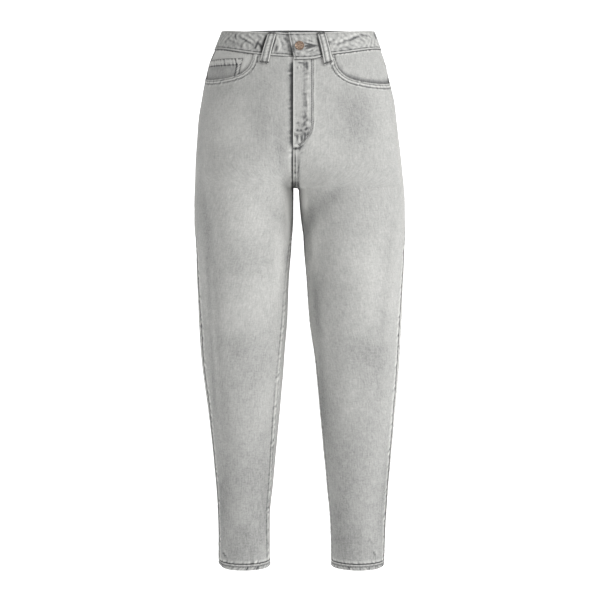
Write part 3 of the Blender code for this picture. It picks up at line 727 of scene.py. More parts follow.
class Maker:
    def __init__(self, denim: bpy.types.Material, inside: bpy.types.Material, thread: bpy.types.Material) -> None:
        """Keeps the finishes that most pieces share."""
        self.denim = denim
        self.inside = inside
        self.thread = thread

    def mesh(self, name: str, points: Array, faces: Array, finishes: Sequence[bpy.types.Material]) -> bpy.types.Object:
        """An object from a list of points and an array of four-cornered faces."""
        mesh = bpy.data.meshes.new(name)
        mesh.vertices.add(len(points))
        mesh.vertices.foreach_set("co", np.ascontiguousarray(points, np.float32).ravel())
        mesh.loops.add(faces.size)
        mesh.loops.foreach_set("vertex_index", np.ascontiguousarray(faces, np.int32).ravel())
        mesh.polygons.add(len(faces))
        mesh.polygons.foreach_set("loop_start", np.arange(0, faces.size, faces.shape[1], dtype=np.int32))
        mesh.polygons.foreach_set("use_smooth", np.ones(len(faces), bool))
        mesh.update(calc_edges=True)
        mesh.validate()
        for finish in finishes:
            mesh.materials.append(finish)
        made = bpy.data.objects.new(name, mesh)
        bpy.context.scene.collection.objects.link(made)
        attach(made, "root")
        return made

    def wall(
        self, name: str, patch: Patch, thickness: Any, slot: str, nodes: Iterable[str] = (),
        finish: bpy.types.Material | None = None, closed: bool = False,
    ) -> bpy.types.Object:
        """A cloth wall: the patch outside, the same grid moved in by the thickness, and a rim round its edges.

        Args:
            name: The piece's name.
            patch: The outer grid, with tone and distances for its finish.
            thickness: Thickness of the cloth, one number or one for each point.
            slot: The record's material slot; not used.
            nodes: The solids that the piece stands for.
            finish: Its outer finish, the washed denim if left out.
            closed: True if the grid's last column joins its first.

        Returns:
            The object.
        """
        rows, columns = patch.tone.shape
        count = rows * columns
        inner = patch.points - patch.normals * np.broadcast_to(thickness, patch.tone.shape)[..., None]
        last = columns if closed else columns - 1
        row, place = np.meshgrid(np.arange(rows - 1), np.arange(last), indexing="ij")
        a = (row * columns + place).ravel()
        b = (row * columns + (place + 1) % columns).ravel()
        outer = np.stack([a, b, b + columns, a + columns], axis=1)
        rims = [self._rim(np.arange(last), (np.arange(last) + 1) % columns, count)]
        top = (rows - 1) * columns
        rims.append(self._rim(top + (np.arange(last) + 1) % columns, top + np.arange(last), count))
        if not closed:
            up = np.arange(rows - 1) * columns
            rims.append(self._rim(up + columns, up, count))
            rims.append(self._rim(up + columns - 1, up + 2 * columns - 1, count))
        faces = np.concatenate([outer, outer[:, ::-1] + count, *rims])
        points = np.concatenate([patch.points.reshape(-1, 3), inner.reshape(-1, 3)])
        if self._turned(patch):
            faces = faces[:, ::-1]
        # The inner faces take the dark inside finish: painted shade for the garment's shadowed inside.
        made = self.mesh(name, points, faces, [finish or self.denim, self.inside])
        mesh = made.data
        index = np.zeros(len(faces), np.int32)
        index[len(outer):2 * len(outer)] = 1
        mesh.polygons.foreach_set("material_index", index)
        self._dress(mesh, patch, faces)
        if list(nodes):
            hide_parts(*nodes)
        return made

    @staticmethod
    def outward(piece: bpy.types.Object) -> None:
        """Turns the faces of a closed piece outwards."""
        shape = bmesh.new()
        shape.from_mesh(piece.data)
        bmesh.ops.recalc_face_normals(shape, faces=shape.faces)
        if shape.calc_volume(signed=True) < 0:
            bmesh.ops.reverse_faces(shape, faces=shape.faces)
        shape.to_mesh(piece.data)
        shape.free()

    @staticmethod
    def _rim(a: Array, b: Array, count: int) -> Array:
        """Faces that join an outer edge to the same edge inside."""
        return np.stack([a + count, b + count, b, a], axis=1)

    @staticmethod
    def _turned(patch: Patch) -> bool:
        """True if the grid's own faces point against its normals."""
        level = patch.points[:-1, 1:] - patch.points[:-1, :-1]
        up = patch.points[1:, :-1] - patch.points[:-1, :-1]
        return float((np.cross(level, up) * patch.normals[:-1, :-1]).sum()) < 0

    @staticmethod
    def _dress(mesh: bpy.types.Mesh, patch: Patch, faces: Array) -> None:
        """Stores the cloth's distances as a UV map, and its tone as an attribute, darker inside through the inside
        finish's painted shade.
        """
        flat = np.stack([patch.across.ravel(), patch.up.ravel()], axis=1)
        corners = np.concatenate([flat, flat])[faces.ravel()]
        mesh.uv_layers.new(name="cloth").data.foreach_set("uv", corners.astype(np.float32).ravel())
        tone = np.concatenate([patch.tone.ravel(), np.zeros(patch.tone.size)])
        mesh.attributes.new("tone", "FLOAT", "POINT").data.foreach_set("value", tone.astype(np.float32))

    def sheet(self, piece: bpy.types.Object, patch: Patch, flat: tuple[float, float]) -> None:
        """Takes a piece, its patch and the flat size that it is cut to, and does nothing with them."""

    def stitches(
        self, name: str, lines: Sequence[tuple[Array, Array]], pitch: float = 3.2 * MM,
        finish: bpy.types.Material | None = None,
    ) -> bpy.types.Object:
        """Rows of sewing as one mesh: a small six-sided grain of thread for each stitch.

        Every line is walked at an even pitch; a grain is a ring profile, round across and tapered along,
        turned to the line and to the cloth's normal.

        Args:
            name: The piece's name.
            lines: Points and normals along each row of sewing.
            pitch: Length from one stitch to the next.
            finish: The thread's finish, the pale thread if left out.

        Returns:
            The object.
        """
        spots, ways, tops = [], [], []
        for points, normals in lines:
            walk = np.concatenate([[0.0], np.cumsum(np.linalg.norm(np.diff(points, axis=0), axis=1))])
            at = np.arange(pitch * 0.6, walk[-1] - pitch * 0.4, pitch)
            if len(at) < 2:
                continue
            spot = np.stack([np.interp(at, walk, points[:, k]) for k in range(3)], axis=1)
            top = np.stack([np.interp(at, walk, normals[:, k]) for k in range(3)], axis=1)
            way = np.gradient(spot, axis=0)
            spots.append(spot)
            ways.append(way / np.maximum(np.linalg.norm(way, axis=1, keepdims=True), 1e-12))
            tops.append(top)
        spot, way, top = np.concatenate(spots), np.concatenate(ways), np.concatenate(tops)
        top = top - way * (top * way).sum(axis=1, keepdims=True)
        top /= np.maximum(np.linalg.norm(top, axis=1, keepdims=True), 1e-12)
        level = np.cross(way, top)
        rings = np.array([(-0.5, 0.25, -0.2), (-0.3, 0.9, 0.25), (0.3, 0.9, 0.25), (0.5, 0.25, -0.2)])
        turns = np.linspace(0, 2 * math.pi, 6, endpoint=False)
        along = rings[:, :1] * pitch * 0.8 + np.zeros(6)
        side = rings[:, 1:2] * np.cos(turns) * 0.32 * MM
        high = rings[:, 1:2] * np.sin(turns) * 0.26 * MM + rings[:, 2:] * 0.5 * MM
        grain = np.stack([along.ravel(), side.ravel(), high.ravel()], axis=1)
        points = spot[:, None] + grain[:, :1] * way[:, None] + grain[:, 1:2] * level[:, None]
        points = points + grain[:, 2:] * top[:, None]
        ring, turn = np.meshgrid(np.arange(3), np.arange(6), indexing="ij")
        a, b = (ring * 6 + turn).ravel(), (ring * 6 + (turn + 1) % 6).ravel()
        quads = np.stack([a, b, b + 6, a + 6], axis=1)
        caps = np.array([[3, 2, 1, 0], [5, 4, 3, 0], [18, 19, 20, 21], [18, 21, 22, 23]])
        quads = np.concatenate([quads[:, ::-1], caps[:, ::-1]])
        faces = (quads[None] + (np.arange(len(spot)) * 24)[:, None, None]).reshape(-1, 4)
        made = self.mesh(name, points.reshape(-1, 3), faces[:, ::-1], [finish or self.thread])
        return made


@dataclass
class LegPanels:
    """The four main panels, with their seams, puckers and the pocket scoops cut from the fronts."""

    figure: Figure
    maker: Maker
    cloth: float = 1.2 * MM
    gap: float = 0.12 * MM
    hem_fold: float = 12.5 * MM
    scoop_start: dict[Side, float] = field(default_factory=lambda: {Side.RIGHT: 72 * MM, Side.LEFT: 74 * MM})
    scoop_side: dict[Side, float] = field(default_factory=lambda: {Side.RIGHT: -73.5 * MM, Side.LEFT: -81.5 * MM})
    scoop_sag: float = 8 * MM
    yoke_side: float = 34 * MM
    yoke_centre: float = 62 * MM
    # Creases and patches as seen from the front, with painted shade in each trough and a painted highlight on each
    # ridge; the strokes without depth are only painted light and shade: the near-black line along the inner edge below
    # the crotch and the broad lighter and darker patches on the hips and legs.
    marks: tuple[Stroke, ...] = (
        Stroke(-8.1, -302.6, -90, 29.5, 1.79, 0, 1.3, 0),
        Stroke(-16.5, -333.9, -91, 57.3, 5.37, 0, -0.24, 0),
        Stroke(-10.1, -240.5, -90, 29.4, 1.43, 0.1, 0.75, 0),
        Stroke(-5.1, -241.4, -90, 28.5, 1.25, 0.1, 0.55, 0),
        Stroke(5.5, -215.1, -16, 4.6, 1.6, 0.3, 0.24, 0.08),
        Stroke(-131.4, -157.2, -90, 45, 46.83, 0, -0.08, 0),
        Stroke(-98.5, -391.2, -90, 44.8, 39.45, 0, 0.035, 0),
        Stroke(27, -400.2, -87, 35.9, 12.56, 0, -0.05, 0),
        Stroke(97, -400.2, -90, 35.9, 43.05, 0, -0.035, 0),
        Stroke(-54.3, -663.2, -90, 45.3, 16.3, 0, -0.04, 0),
        Stroke(108.7, -663.2, -90, 45.3, 36.22, 0, -0.03, 0),
        Stroke(109.4, -879.3, -90, 50.1, 23.69, 0, -0.03, 0),
        Stroke(107.1, -153, -84, 40.7, 43.17, 0, 0.04, 0),
        Stroke(-70.4, -158.9, -80, 36.3, 25.01, 0, 0.04, 0),
        Stroke(-3.1, -209.5, -15, 4.8, 1.6, 0.2, 0.6, 0),
        Stroke(5.7, -208, 33, 5, 1.6, 0.2, 0.5, 0),
        Stroke(157.9, -397.5, -38, 24.9, 16.14, 0, 0.03, 0),
        Stroke(-31.3, -391.2, -91, 44.8, 12.55, 0, -0.05, 0),
        Stroke(0.7, -245.8, -90, 24.1, 1.78, 0.2, 0.32, 0),
        Stroke(10.9, -296.4, -87, 19.7, 6.08, 0, -0.22, 0),
        Stroke(-7.6, -241.4, -90, 28.5, 1.25, -0.1, -0.35, 0),
        Stroke(-11.7, -362.6, -93, 32.3, 1.43, 0, 0.34, 0),
        Stroke(8, -343.8, -85, 58.4, 1.43, 0, 0.3, 0),
        Stroke(24.3, -331.2, -83, 20.8, 8.05, 0.6, 0.05, 0.02),
        Stroke(19.8, -376.9, -87, 35.9, 6.45, 0.6, 0.1, 0),
        Stroke(32.5, -487.6, -84, 75, 6.12, 0.5, 0.07, 0),
        Stroke(44.4, -649.5, -87, 86.1, 6.15, 0.4, 0.07, 0),
        Stroke(-162.5, -452.4, -87, 68.4, 3.95, 0.6, 0.07, 0.03),
        Stroke(-155.8, -601.1, -87, 79.6, 3.98, 0.6, 0.06, 0.03),
        Stroke(-10.5, -274.3, -92, 8, 1.43, 0.3, 0.5, 0),
        Stroke(-5.4, -274.8, -90, 6.7, 1.6, 0.3, 0.5, 0),
        Stroke(0.7, -275.7, -81, 7.7, 1.6, 0.3, 0.55, 0),
        Stroke(-46.6, -768.9, -92, 31.8, 1.45, 0.3, 0.16, 0.06),
        Stroke(-53.7, -858.1, -91, 10.9, 1.27, 0.2, 0.16, 0.06),
        Stroke(-135, -950.7, -48, 5.5, 1.82, 0.4, 0.22, 0.12),
        Stroke(-54.7, -935.5, -85, 9.2, 1.82, 0.4, 0.14, 0.06),
        Stroke(139.6, -946.6, -63, 6.1, 1.64, 0.4, 0.2, 0.12),
        Stroke(131.8, -921.7, -63, 5.1, 1.82, 0.3, 0.1, 0.08),
        Stroke(-65.9, -267.9, -79, 9.1, 3.93, 0.3, 0.04, 0.03),
        Stroke(-58.8, -151.9, -92, 60.7, 24.99, 0, 0.055, 0),
        Stroke(104.4, -148.6, -88, 63, 39.56, 0, 0.065, 0),
        Stroke(-32.2, -395.7, -92, 67.3, 10.76, 0, -0.05, 0),
        Stroke(-139.4, -880.2, -91, 69.3, 10.93, 0, 0.05, 0),
        Stroke(71.2, -898.7, -90, 51, 10.94, 0, 0.06, 0),
    )

    def start(self, side: Side) -> float:
        """Around value where the pocket's scoop leaves the waist seam."""
        seam = self.figure.waist_line(0.15, self.figure.seam_line)
        return float(self.figure.around_at(side, self.scoop_start[side], seam))

    def scoop(self, side: Side, around: Array) -> Array:
        """Top edge of the front: the waist seam, then a quarter oval that sags and rises to the side seam."""
        start = self.start(side)
        share = np.clip((0.5 - around) / (0.5 - start), 0, 1)
        fall = np.where(around > start, np.clip(1 - share**14, 0, 1) ** 0.46, 0.0)
        seam = self.figure.waist_line(around, self.figure.seam_line)
        foot = self.scoop_side[side] - self.scoop_sag * np.sin(math.pi * share)
        return seam + (foot - seam) * fall

    def yoke(self, around: Array) -> Array:
        """Height of the seam between yoke and back panel, lowest at the centre back."""
        share = (np.asarray(around) - 0.5) * 2
        drop = self.yoke_side + (self.yoke_centre - self.yoke_side) * share
        return self.figure.waist_line(around, self.figure.seam_line) - drop

    def heights(self, top: Array) -> Array:
        """Rows of a panel: fine at the hem, the crotch and the top edge, and even in between."""
        f = self.figure
        foot = f.hem + self.hem_fold + self.gap
        low = spread(foot, f.crotch + 34 * MM, 4.2 * MM, 1.6 * MM, (foot, f.crotch), 14 * MM)
        share = spread(0.0, 0.19, 3.6 * MM, 1.3 * MM, (0.19,), 16 * MM) / 0.19
        high = low[-1] + (top - low[-1]) * share[1:, None]
        return np.concatenate([np.broadcast_to(low[:, None], (len(low), len(top))), high])

    def columns(self, side: Side, ends: tuple[float, float], near: Sequence[float]) -> Array:
        """Around values of a panel's columns, fine near its seams and at the named places."""
        girth = self.figure.girth(side, -0.25)
        spots = [place * girth for place in (*ends, *near)]
        return spread(ends[0] * girth, ends[1] * girth, 4.2 * MM, 1.3 * MM, spots, 11 * MM) / girth

    def lay(self, side: Side, columns: Array, top: Array) -> tuple[Patch, Array, Array]:
        """The panel's grid on the form, drawn in a little at its seams.

        Args:
            side: The wearer's side.
            columns: Around values.
            top: Height of the top edge at each column.

        Returns:
            The patch, and its grids of around values and heights.
        """
        height = self.heights(top)
        around = np.broadcast_to(columns, height.shape)
        points, normals = self.figure.cloth(side, around, height)
        reach = np.maximum(side.value * (points[..., 0] - self.figure.centre), self.gap / 2)
        points[..., 0] = self.figure.centre + side.value * reach
        return Patch.lay(points, normals), around, height

    def front(self, side: Side) -> Patch:
        """One front panel: side seam, inseam or rise, pocket scoop and fly shadow pressed into it."""
        start = self.start(side)
        near = [start, start + 0.01, float(self.figure.around_at(side, 36 * MM, -0.12)) if side is Side.LEFT else 0.0]
        columns = self.columns(side, (0.0, 0.5), near)
        top = self.scoop(side, columns) - self.gap
        patch, around, height = self.lay(side, columns, top)
        f = self.figure
        below = height < f.crotch
        lower = smooth((f.crotch - 25 * MM - height) / (90 * MM))
        seed = 10 if side is Side.RIGHT else 40
        lines = (2.2 * MM, 8.6 * MM) if side is Side.RIGHT else (2.2 * MM,)
        inseam = Seam(9.6 * MM, 0.7 * MM, 0.55 * MM, 11 * MM, 0.4, lines, seed=seed)
        lift, tone = inseam.relief(patch.across, height)
        patch.press(lift * below * (0.35 + 0.65 * lower), tone * below * (0.4 + 0.6 * lower))
        felled = side is Side.LEFT
        rise = Seam(7.6 * MM, 0.7 * MM if felled else 0.0, 0.3 * MM, 10 * MM, 0.3, (2.8 * MM,), dark=0.05,
                    seed=seed + 1, sewn=0.7)
        lift, tone = rise.relief(patch.across, height)
        upper = (~below) * smooth((-0.198 - height) / (6 * MM)) if side is Side.LEFT else (~below) * 0.5
        patch.press(lift * upper, tone * upper)
        outer = Seam(9 * MM, 0.0, 0.45 * MM, 11 * MM, 0.5, dark=0.42, shade=0.10, seed=seed + 2)
        # worn sets how strong the side seam's relief and painted shade are: weak at the hip, full lower down.
        worn = 0.25 + 0.75 * smooth((-0.30 - height) / (120 * MM))
        lift, tone = outer.relief(patch.left_over(), height)
        # Dark dashes right at the side seam: painted shade in its puckered line.
        dashes = 0.7 + 0.6 * wobble(height, 17 * MM, seed + 5)
        tone = tone - 0.22 * bell(patch.left_over() / (2.2 * MM)) * dashes
        patch.press(lift * worn, tone * worn)
        self.pocket_edge(patch, side, around, height, seed + 3)
        if side is Side.RIGHT:
            shade = bell(patch.across / (7 * MM)) * smooth((height + 0.215) / (20 * MM)) * (1 - smooth((height + 0.062) / (14 * MM)))
            patch.press(-2.6 * MM * shade, -0.5 * shade)
        self.hem_pucker(patch, height, seed + 4)
        self.wash(patch, side, around, height)
        if side is Side.LEFT:
            self.fly_edge(patch, height)
        patch.draw(self.marks)
        return patch

    def fly_edge(self, patch: Patch, height: Array) -> None:
        """Presses the fly's outer row of sewing: its distance is to the nearest point of the J's line. Its sunken line
        gets painted shade and the ridge outside it a painted highlight.

        The J is a quarter oval, then upright, as wide and as long as the fly.

        Args:
            patch: The front panel.
            height: Heights of its points.
        """
        turn = np.linspace(0.03, math.pi / 2, 90)
        curve = np.stack([36.4 * MM * np.sin(turn), -0.158 - 51 * MM * np.cos(turn)], axis=1)
        upright = np.stack([np.full(60, 36.4 * MM), np.linspace(-0.158, -0.04, 60)], axis=1)
        edge = np.concatenate([curve, upright])
        zone = (height > -0.23) & (patch.across < 60 * MM)
        spots = np.stack([patch.across[zone], height[zone]], axis=1)
        gap = np.linalg.norm(spots[:, None] - edge[None], axis=-1).min(axis=1)
        outside = spots[:, 0] > 36.4 * MM
        line, ridge = np.zeros(height.shape), np.zeros(height.shape)
        line[zone] = bell(gap / (0.9 * MM))
        ridge[zone] = bell((gap - 2 * MM) / (1.2 * MM)) * outside
        patch.press(MM * (0.3 * ridge - 0.3 * line), 0.12 * ridge - 0.34 * line)

    def pocket_edge(self, patch: Patch, side: Side, around: Array, height: Array, seed: int) -> None:
        """Presses the scoop's folded edge: its distance is to the nearest point of the scoop's own line. Its tone is
        painted shade at the edge and in the sewing rows, and painted highlights beside the edge, on the beads between
        the rows and past the outer row.
        """
        start = self.start(side)
        girth = self.figure.girth(side, -0.06)
        line = np.linspace(start + 1e-4, 0.5, 240)
        edge = np.stack([line * girth, self.scoop(side, line)], axis=1)
        zone = (height > -0.14) & (around > start - 0.07)
        spots = np.stack([around[zone] * girth, height[zone]], axis=1)
        gaps = np.linalg.norm(spots[:, None] - edge[None], axis=-1)
        walk = np.concatenate([[0.0], np.cumsum(np.linalg.norm(np.diff(edge, axis=0), axis=1))])
        seam = Seam(9.6 * MM, 0.55 * MM, 0.3 * MM, 4.6 * MM, 0.3, (3.0 * MM, 8.2 * MM), 0.35 * MM, 0.3, 0.10, seed, 1.3)
        lift, tone = seam.relief(gaps.min(axis=1), walk[gaps.argmin(axis=1)])
        whole_lift, whole_tone = np.zeros(height.shape), np.zeros(height.shape)
        reach = gaps.min(axis=1)
        ribs = 0.6 + 0.55 * wobble(walk[gaps.argmin(axis=1)], 5 * MM, seed + 6)
        tone = tone + 0.10 * bell((reach - 1.0 * MM) / (0.9 * MM)) + 0.24 * bell((reach - 10.9 * MM) / (1.1 * MM))
        tone = tone - 0.26 * bell((reach - 8.5 * MM) / (0.95 * MM)) + 0.14 * ribs * bell((reach - 5.8 * MM) / (1.2 * MM))
        whole_lift[zone], whole_tone[zone] = lift, tone
        patch.press(whole_lift, whole_tone)

    def hem_pucker(self, patch: Patch, height: Array, seed: int) -> None:
        """Small uneven puckers just above the hem's sewing."""
        seam = Seam(4 * MM, 0.0, 0.45 * MM, 9 * MM, 0.5, dark=0.2, shade=0.1, seed=seed)
        lift, tone = seam.relief(height - (self.figure.hem + self.hem_fold), patch.across)
        patch.press(lift, tone)

    def wash(self, patch: Patch, side: Side, around: Array, height: Array) -> None:
        """Tone of soft uneven clouds, with painted shade in the folds' troughs and painted shade that grows towards the
        hem.
        """
        depth = np.zeros(height.shape)
        for crease in self.figure.folds:
            if crease.side == side:
                depth = depth + crease.depth_at(around, height)
        # Painted shade in the folds' troughs.
        patch.press(0.0, -0.03 * depth / MM)
        # Painted shade, darker towards the hem, standing in for the light that falls off down the legs.
        shade_towards_hem = 0.095 * smooth((-0.40 - height) / 0.5)
        patch.press(0.0, 0.03 * cloud(around * 0.56, height, 0.16, 3 + side.value) - shade_towards_hem)

    def back(self, side: Side) -> Patch:
        """One back panel: the side seam's allowance, the felled inseam and seat seam pressed into it."""
        columns = self.columns(side, (0.5, 1.0), ())
        patch, around, height = self.lay(side, columns, self.yoke(columns) - self.gap)
        f = self.figure
        below = height < f.crotch
        seed = 60 if side is Side.RIGHT else 80
        outer = Seam(9 * MM, 0.75 * MM, 0.6 * MM, 12 * MM, 0.5, dark=0.5, shade=0.14, seed=seed)
        # worn sets how strong the side seam's relief and painted shade are: weaker at the hip, full lower down.
        worn = 0.35 + 0.65 * smooth((-0.30 - height) / (120 * MM))
        lift, tone = outer.relief(patch.across, height)
        patch.press(lift * worn, tone * worn)
        inseam = Seam(3 * MM, 0.0, 0.4 * MM, 11 * MM, 0.4, (), seed=seed + 1)
        lift, tone = inseam.relief(patch.left_over(), height)
        patch.press(lift * below, tone * below)
        seat = Seam(9 * MM, 0.6 * MM if side is Side.LEFT else 0.0, 0.4 * MM, 12 * MM, 0.3, (2 * MM, 7.6 * MM), seed=seed + 2)
        lift, tone = seat.relief(patch.left_over(), height)
        patch.press(lift * ~below, tone * ~below)
        top = Seam(8 * MM, 0.0, 0.3 * MM, 10 * MM, 0.3, seed=seed + 3)
        lift, tone = top.relief(self.yoke(around) - height, patch.across)
        patch.press(lift, tone)
        self.hem_pucker(patch, height, seed + 4)
        self.wash(patch, side, around, height)
        return patch

    def yoke_patch(self, side: Side) -> Patch:
        """The yoke's grid, with its felled lower edge and the seat seam."""
        columns = self.columns(side, (0.5, 1.0), ())
        foot = self.yoke(columns) + self.gap
        top = self.figure.waist_line(columns, self.figure.seam_line) - self.gap
        share = spread(0.0, 0.05, 2.6 * MM, 1.2 * MM, (0.0, 0.05), 8 * MM) / 0.05
        height = foot + (top - foot) * share[:, None]
        around = np.broadcast_to(columns, height.shape)
        points, normals = self.figure.cloth(side, around, height)
        patch = Patch.lay(points, normals)
        lower = Seam(9 * MM, 0.6 * MM, 0.4 * MM, 10 * MM, 0.3, (2 * MM, 7.6 * MM), seed=90 + side.value)
        patch.press(*lower.relief(height - foot, patch.across))
        seat = Seam(9 * MM, 0.5 * MM if side is Side.LEFT else 0.0, 0.3 * MM, 12 * MM, 0.3, (2 * MM, 7.6 * MM), seed=95)
        patch.press(*seat.relief(patch.left_over(), height))
        return patch

    def build(self) -> None:
        """Makes the panels, yokes and their sewing."""
        for side in Side:
            word = side.word
            front, back, yoke = self.front(side), self.back(side), self.yoke_patch(side)
            self.maker.sheet(
                self.maker.wall(f"front_{word}_cloth", front, self.cloth, "washed_denim", [f"front_{word}"]),
                front, (0.31, 0.97))
            self.maker.sheet(
                self.maker.wall(f"back_{word}_cloth", back, self.cloth, "washed_denim", [f"back_{word}"]),
                back, (0.34, 0.97))
            self.maker.sheet(
                self.maker.wall(f"yoke_{word}_cloth", yoke, self.cloth, "washed_denim", [f"yoke_{word}"]),
                yoke, (0.28, 0.07))
            self.sew(side, front, back, yoke)
            LOG.info("panels of the wearer's %s leg", word)

    def sew(self, side: Side, front: Patch, back: Patch, yoke: Patch) -> None:
        """Rows of stitches along the inseam, rise, pocket scoop, yoke and seat seam."""
        heights = front.points[:, 0, 2]
        legs = heights < self.figure.crotch - 6 * MM
        lines: list[tuple[Array, Array]] = []
        for distance in (2.2 * MM, 8.6 * MM):
            points, normals = front.beside(distance)
            lines.append((points[legs], normals[legs]))
        if side is Side.LEFT:
            rise = (heights > self.figure.crotch + 1 * MM) & (heights < -0.205)
            for distance in (2.0 * MM, 7.4 * MM):
                points, normals = front.beside(distance)
                lines.append((points[rise], normals[rise]))
                points, normals = back.beside(distance, from_last=True)
                seat = back.points[:, -1, 2] > self.figure.crotch + 1 * MM
                lines.append((points[seat], normals[seat]))
                lines.append(yoke.beside(distance, from_last=True))
        for distance in (2.0 * MM, 7.6 * MM):
            lines.append(yoke.below(distance, from_foot=True))
        self.maker.stitches(f"sewing_{side.word}", lines)
        self.maker.stitches(f"sewing_pocket_{side.word}", self.scoop_lines(side, front))

    def scoop_lines(self, side: Side, front: Patch) -> list[tuple[Array, Array]]:
        """Two rows beside the scoop: the scoop's line moved square to itself, then read on the panel."""
        start = self.start(side)
        girth = self.figure.girth(side, -0.06)
        line = np.linspace(start + 2e-4, 0.5, 300)
        edge = np.stack([line * girth, self.scoop(side, line)], axis=1)
        way = np.gradient(edge, axis=0)
        way /= np.linalg.norm(way, axis=1, keepdims=True)
        square = np.stack([way[:, 1], -way[:, 0]], axis=1)
        rows = []
        for distance in (3.0 * MM, 8.2 * MM):
            moved = edge + square * distance
            seam = self.figure.waist_line(moved[:, 0] / girth, self.figure.seam_line)
            keep = (moved[:, 0] < 0.5 * girth - 1 * MM) & (moved[:, 1] < seam - 1 * MM)
            around, height = moved[keep, 0] / girth, moved[keep, 1]
            points, normals = self.figure.cloth(side, around, height)
            rows.append((points + normals * 0.75 * MM, normals))
        return rows


@dataclass
class Waistband:
    """The band round the waist: its wearer's left end laps over the start of its right end."""

    figure: Figure
    maker: Maker
    cloth: float = 2.4 * MM
    underlap: float = 30 * MM
    overlap: float = 7 * MM
    ramp: float = 16 * MM
    proud: float = 1.0 * MM
    depth: float = 38 * MM
    end_slant: tuple[float, float] = (-9 * MM, 10.4 * MM)
    lap_drop: float = 7 * MM
    # Creases of the band, pressed in front and behind, each with painted shade in its trough and a painted highlight on
    # its ridge.
    creases: tuple[Stroke, ...] = (
        Stroke(-113.5, -3.9, -88, 5, 1.63, 0.4, 0.28, 0.1),
        Stroke(-93.3, -13.6, -33, 14.3, 1.99, 0.6, 0.24, 0.14),
        Stroke(-81.6, -12.5, -46, 12.4, 1.62, 0.5, 0.14, 0.12),
        Stroke(-115.1, -15.3, -37, 9.1, 2.36, 0.4, 0.13, 0.1),
        Stroke(-128.7, -8.1, 51, 6.5, 2.18, 0.4, 0.12, 0.08),
        Stroke(-101.7, -20.3, -118, 6.7, 2.17, 0.4, 0.12, 0.1),
        Stroke(-74.9, -22.8, -112, 7.8, 1.98, 0.6, 0.42, 0.08),
        Stroke(-67.5, -23.5, -52, 7.4, 1.98, 0.6, 0.42, 0.08),
        Stroke(54.7, -19.7, -84, 5, 1.98, 0.4, 0.2, 0),
        Stroke(61.9, -15.4, 34, 4.9, 2.16, 0.4, 0.16, 0.12),
        Stroke(74.1, -19, 14, 9.3, 2.17, 0.5, 0.22, 0.12),
        Stroke(89.7, -12.6, 9, 8.3, 1.99, 0.5, 0.22, 0.12),
        Stroke(104.1, -6.5, 21, 10.2, 2.36, 0.6, 0.24, 0.12),
        Stroke(120.6, -0.5, -9, 8.3, 2.01, 0.5, 0.22, 0.1),
        Stroke(73.2, -17.2, 37, 17.1, 1.81, -0.4, -0.1, 0),
        Stroke(85.1, -25.7, 18, 13.3, 2.17, 0.3, 0.1, 0.08),
        Stroke(142.1, 1.7, -72, 5.8, 1.48, 0.2, 0.4, 0),
    )
    # Creases and dark lines on the front of the band, with painted shade in each trough: among them painted shadows
    # beside the belt loops and the lap.
    marks: tuple[Stroke, ...] = (
        Stroke(-61.3, -21.4, -108, 16.1, 2.7, 0.8, 0.85, 0),
        Stroke(-45, -24, -109, 17.5, 1.62, 0.4, 0.5, 0.14),
        Stroke(-39.5, -29.9, -112, 5.8, 2.88, 0.5, 0.26, 0),
        Stroke(-33.5, -16.5, -72, 8.5, 1.44, -0.3, -0.16, 0),
        Stroke(-33.9, -30.9, -116, 7, 1.44, -0.3, -0.16, 0),
        Stroke(-22.8, -12.5, 29, 4.6, 3.24, 0.3, 0.07, 0),
        Stroke(-10, -35.5, -84, 10.8, 2.34, 0.2, 0.4, 0),
        Stroke(19.7, -21.8, -16, 7.7, 1.35, 0.5, 0.45, 0.1),
        Stroke(20.2, -28.3, 19, 8.3, 1.44, 0.5, 0.45, -0.1),
        Stroke(29.3, -23.7, -13, 7.9, 1.44, 0.4, 0.3, 0.1),
        Stroke(21.7, -15.5, -18, 5.7, 1.44, 0.3, 0.16, 0.1),
        Stroke(23.9, -33.9, 21, 6.3, 1.44, 0.4, 0.22, 0.12),
        Stroke(31.6, -35.2, 31, 5.2, 1.62, 0.3, 0.15, 0.1),
        Stroke(39.3, -28.3, -78, 23.4, 1.62, 0.2, 0.5, 0),
        Stroke(56.3, -27.4, -77, 18.5, 1.44, 0.2, 0.22, 0),
    )

    def __post_init__(self) -> None:
        """Walks each half of the waist once, so that distances can be read back as around values."""
        self.samples = np.linspace(0.0, 1.0, 721)
        self.walked: dict[Side, Array] = {}
        for side in Side:
            x, y = self.figure.seat(side.value, self.samples, np.zeros(721))
            steps = np.hypot(np.diff(x), np.diff(y))
            self.walked[side] = np.concatenate([[0.0], np.cumsum(steps)])
        self.right = float(self.walked[Side.RIGHT][-1])
        self.whole = self.right + float(self.walked[Side.LEFT][-1])

    def place(self, distance: Array) -> tuple[Array, Array]:
        """Side signs and around values at distances round the waist from the centre front, right first."""
        turned = distance % self.whole
        right = np.interp(turned, self.walked[Side.RIGHT], self.samples)
        left = np.interp(self.whole - turned, self.walked[Side.LEFT], self.samples)
        on_right = turned <= self.right
        return np.where(on_right, -1, 1), np.where(on_right, right, left)

    def seat_points(self, sign: Array, around: Array, height: Array) -> Array:
        """Points of the seat's plain half ellipse."""
        x, y = self.figure.seat(sign, around, height)
        return np.stack([x, y, height], axis=-1)

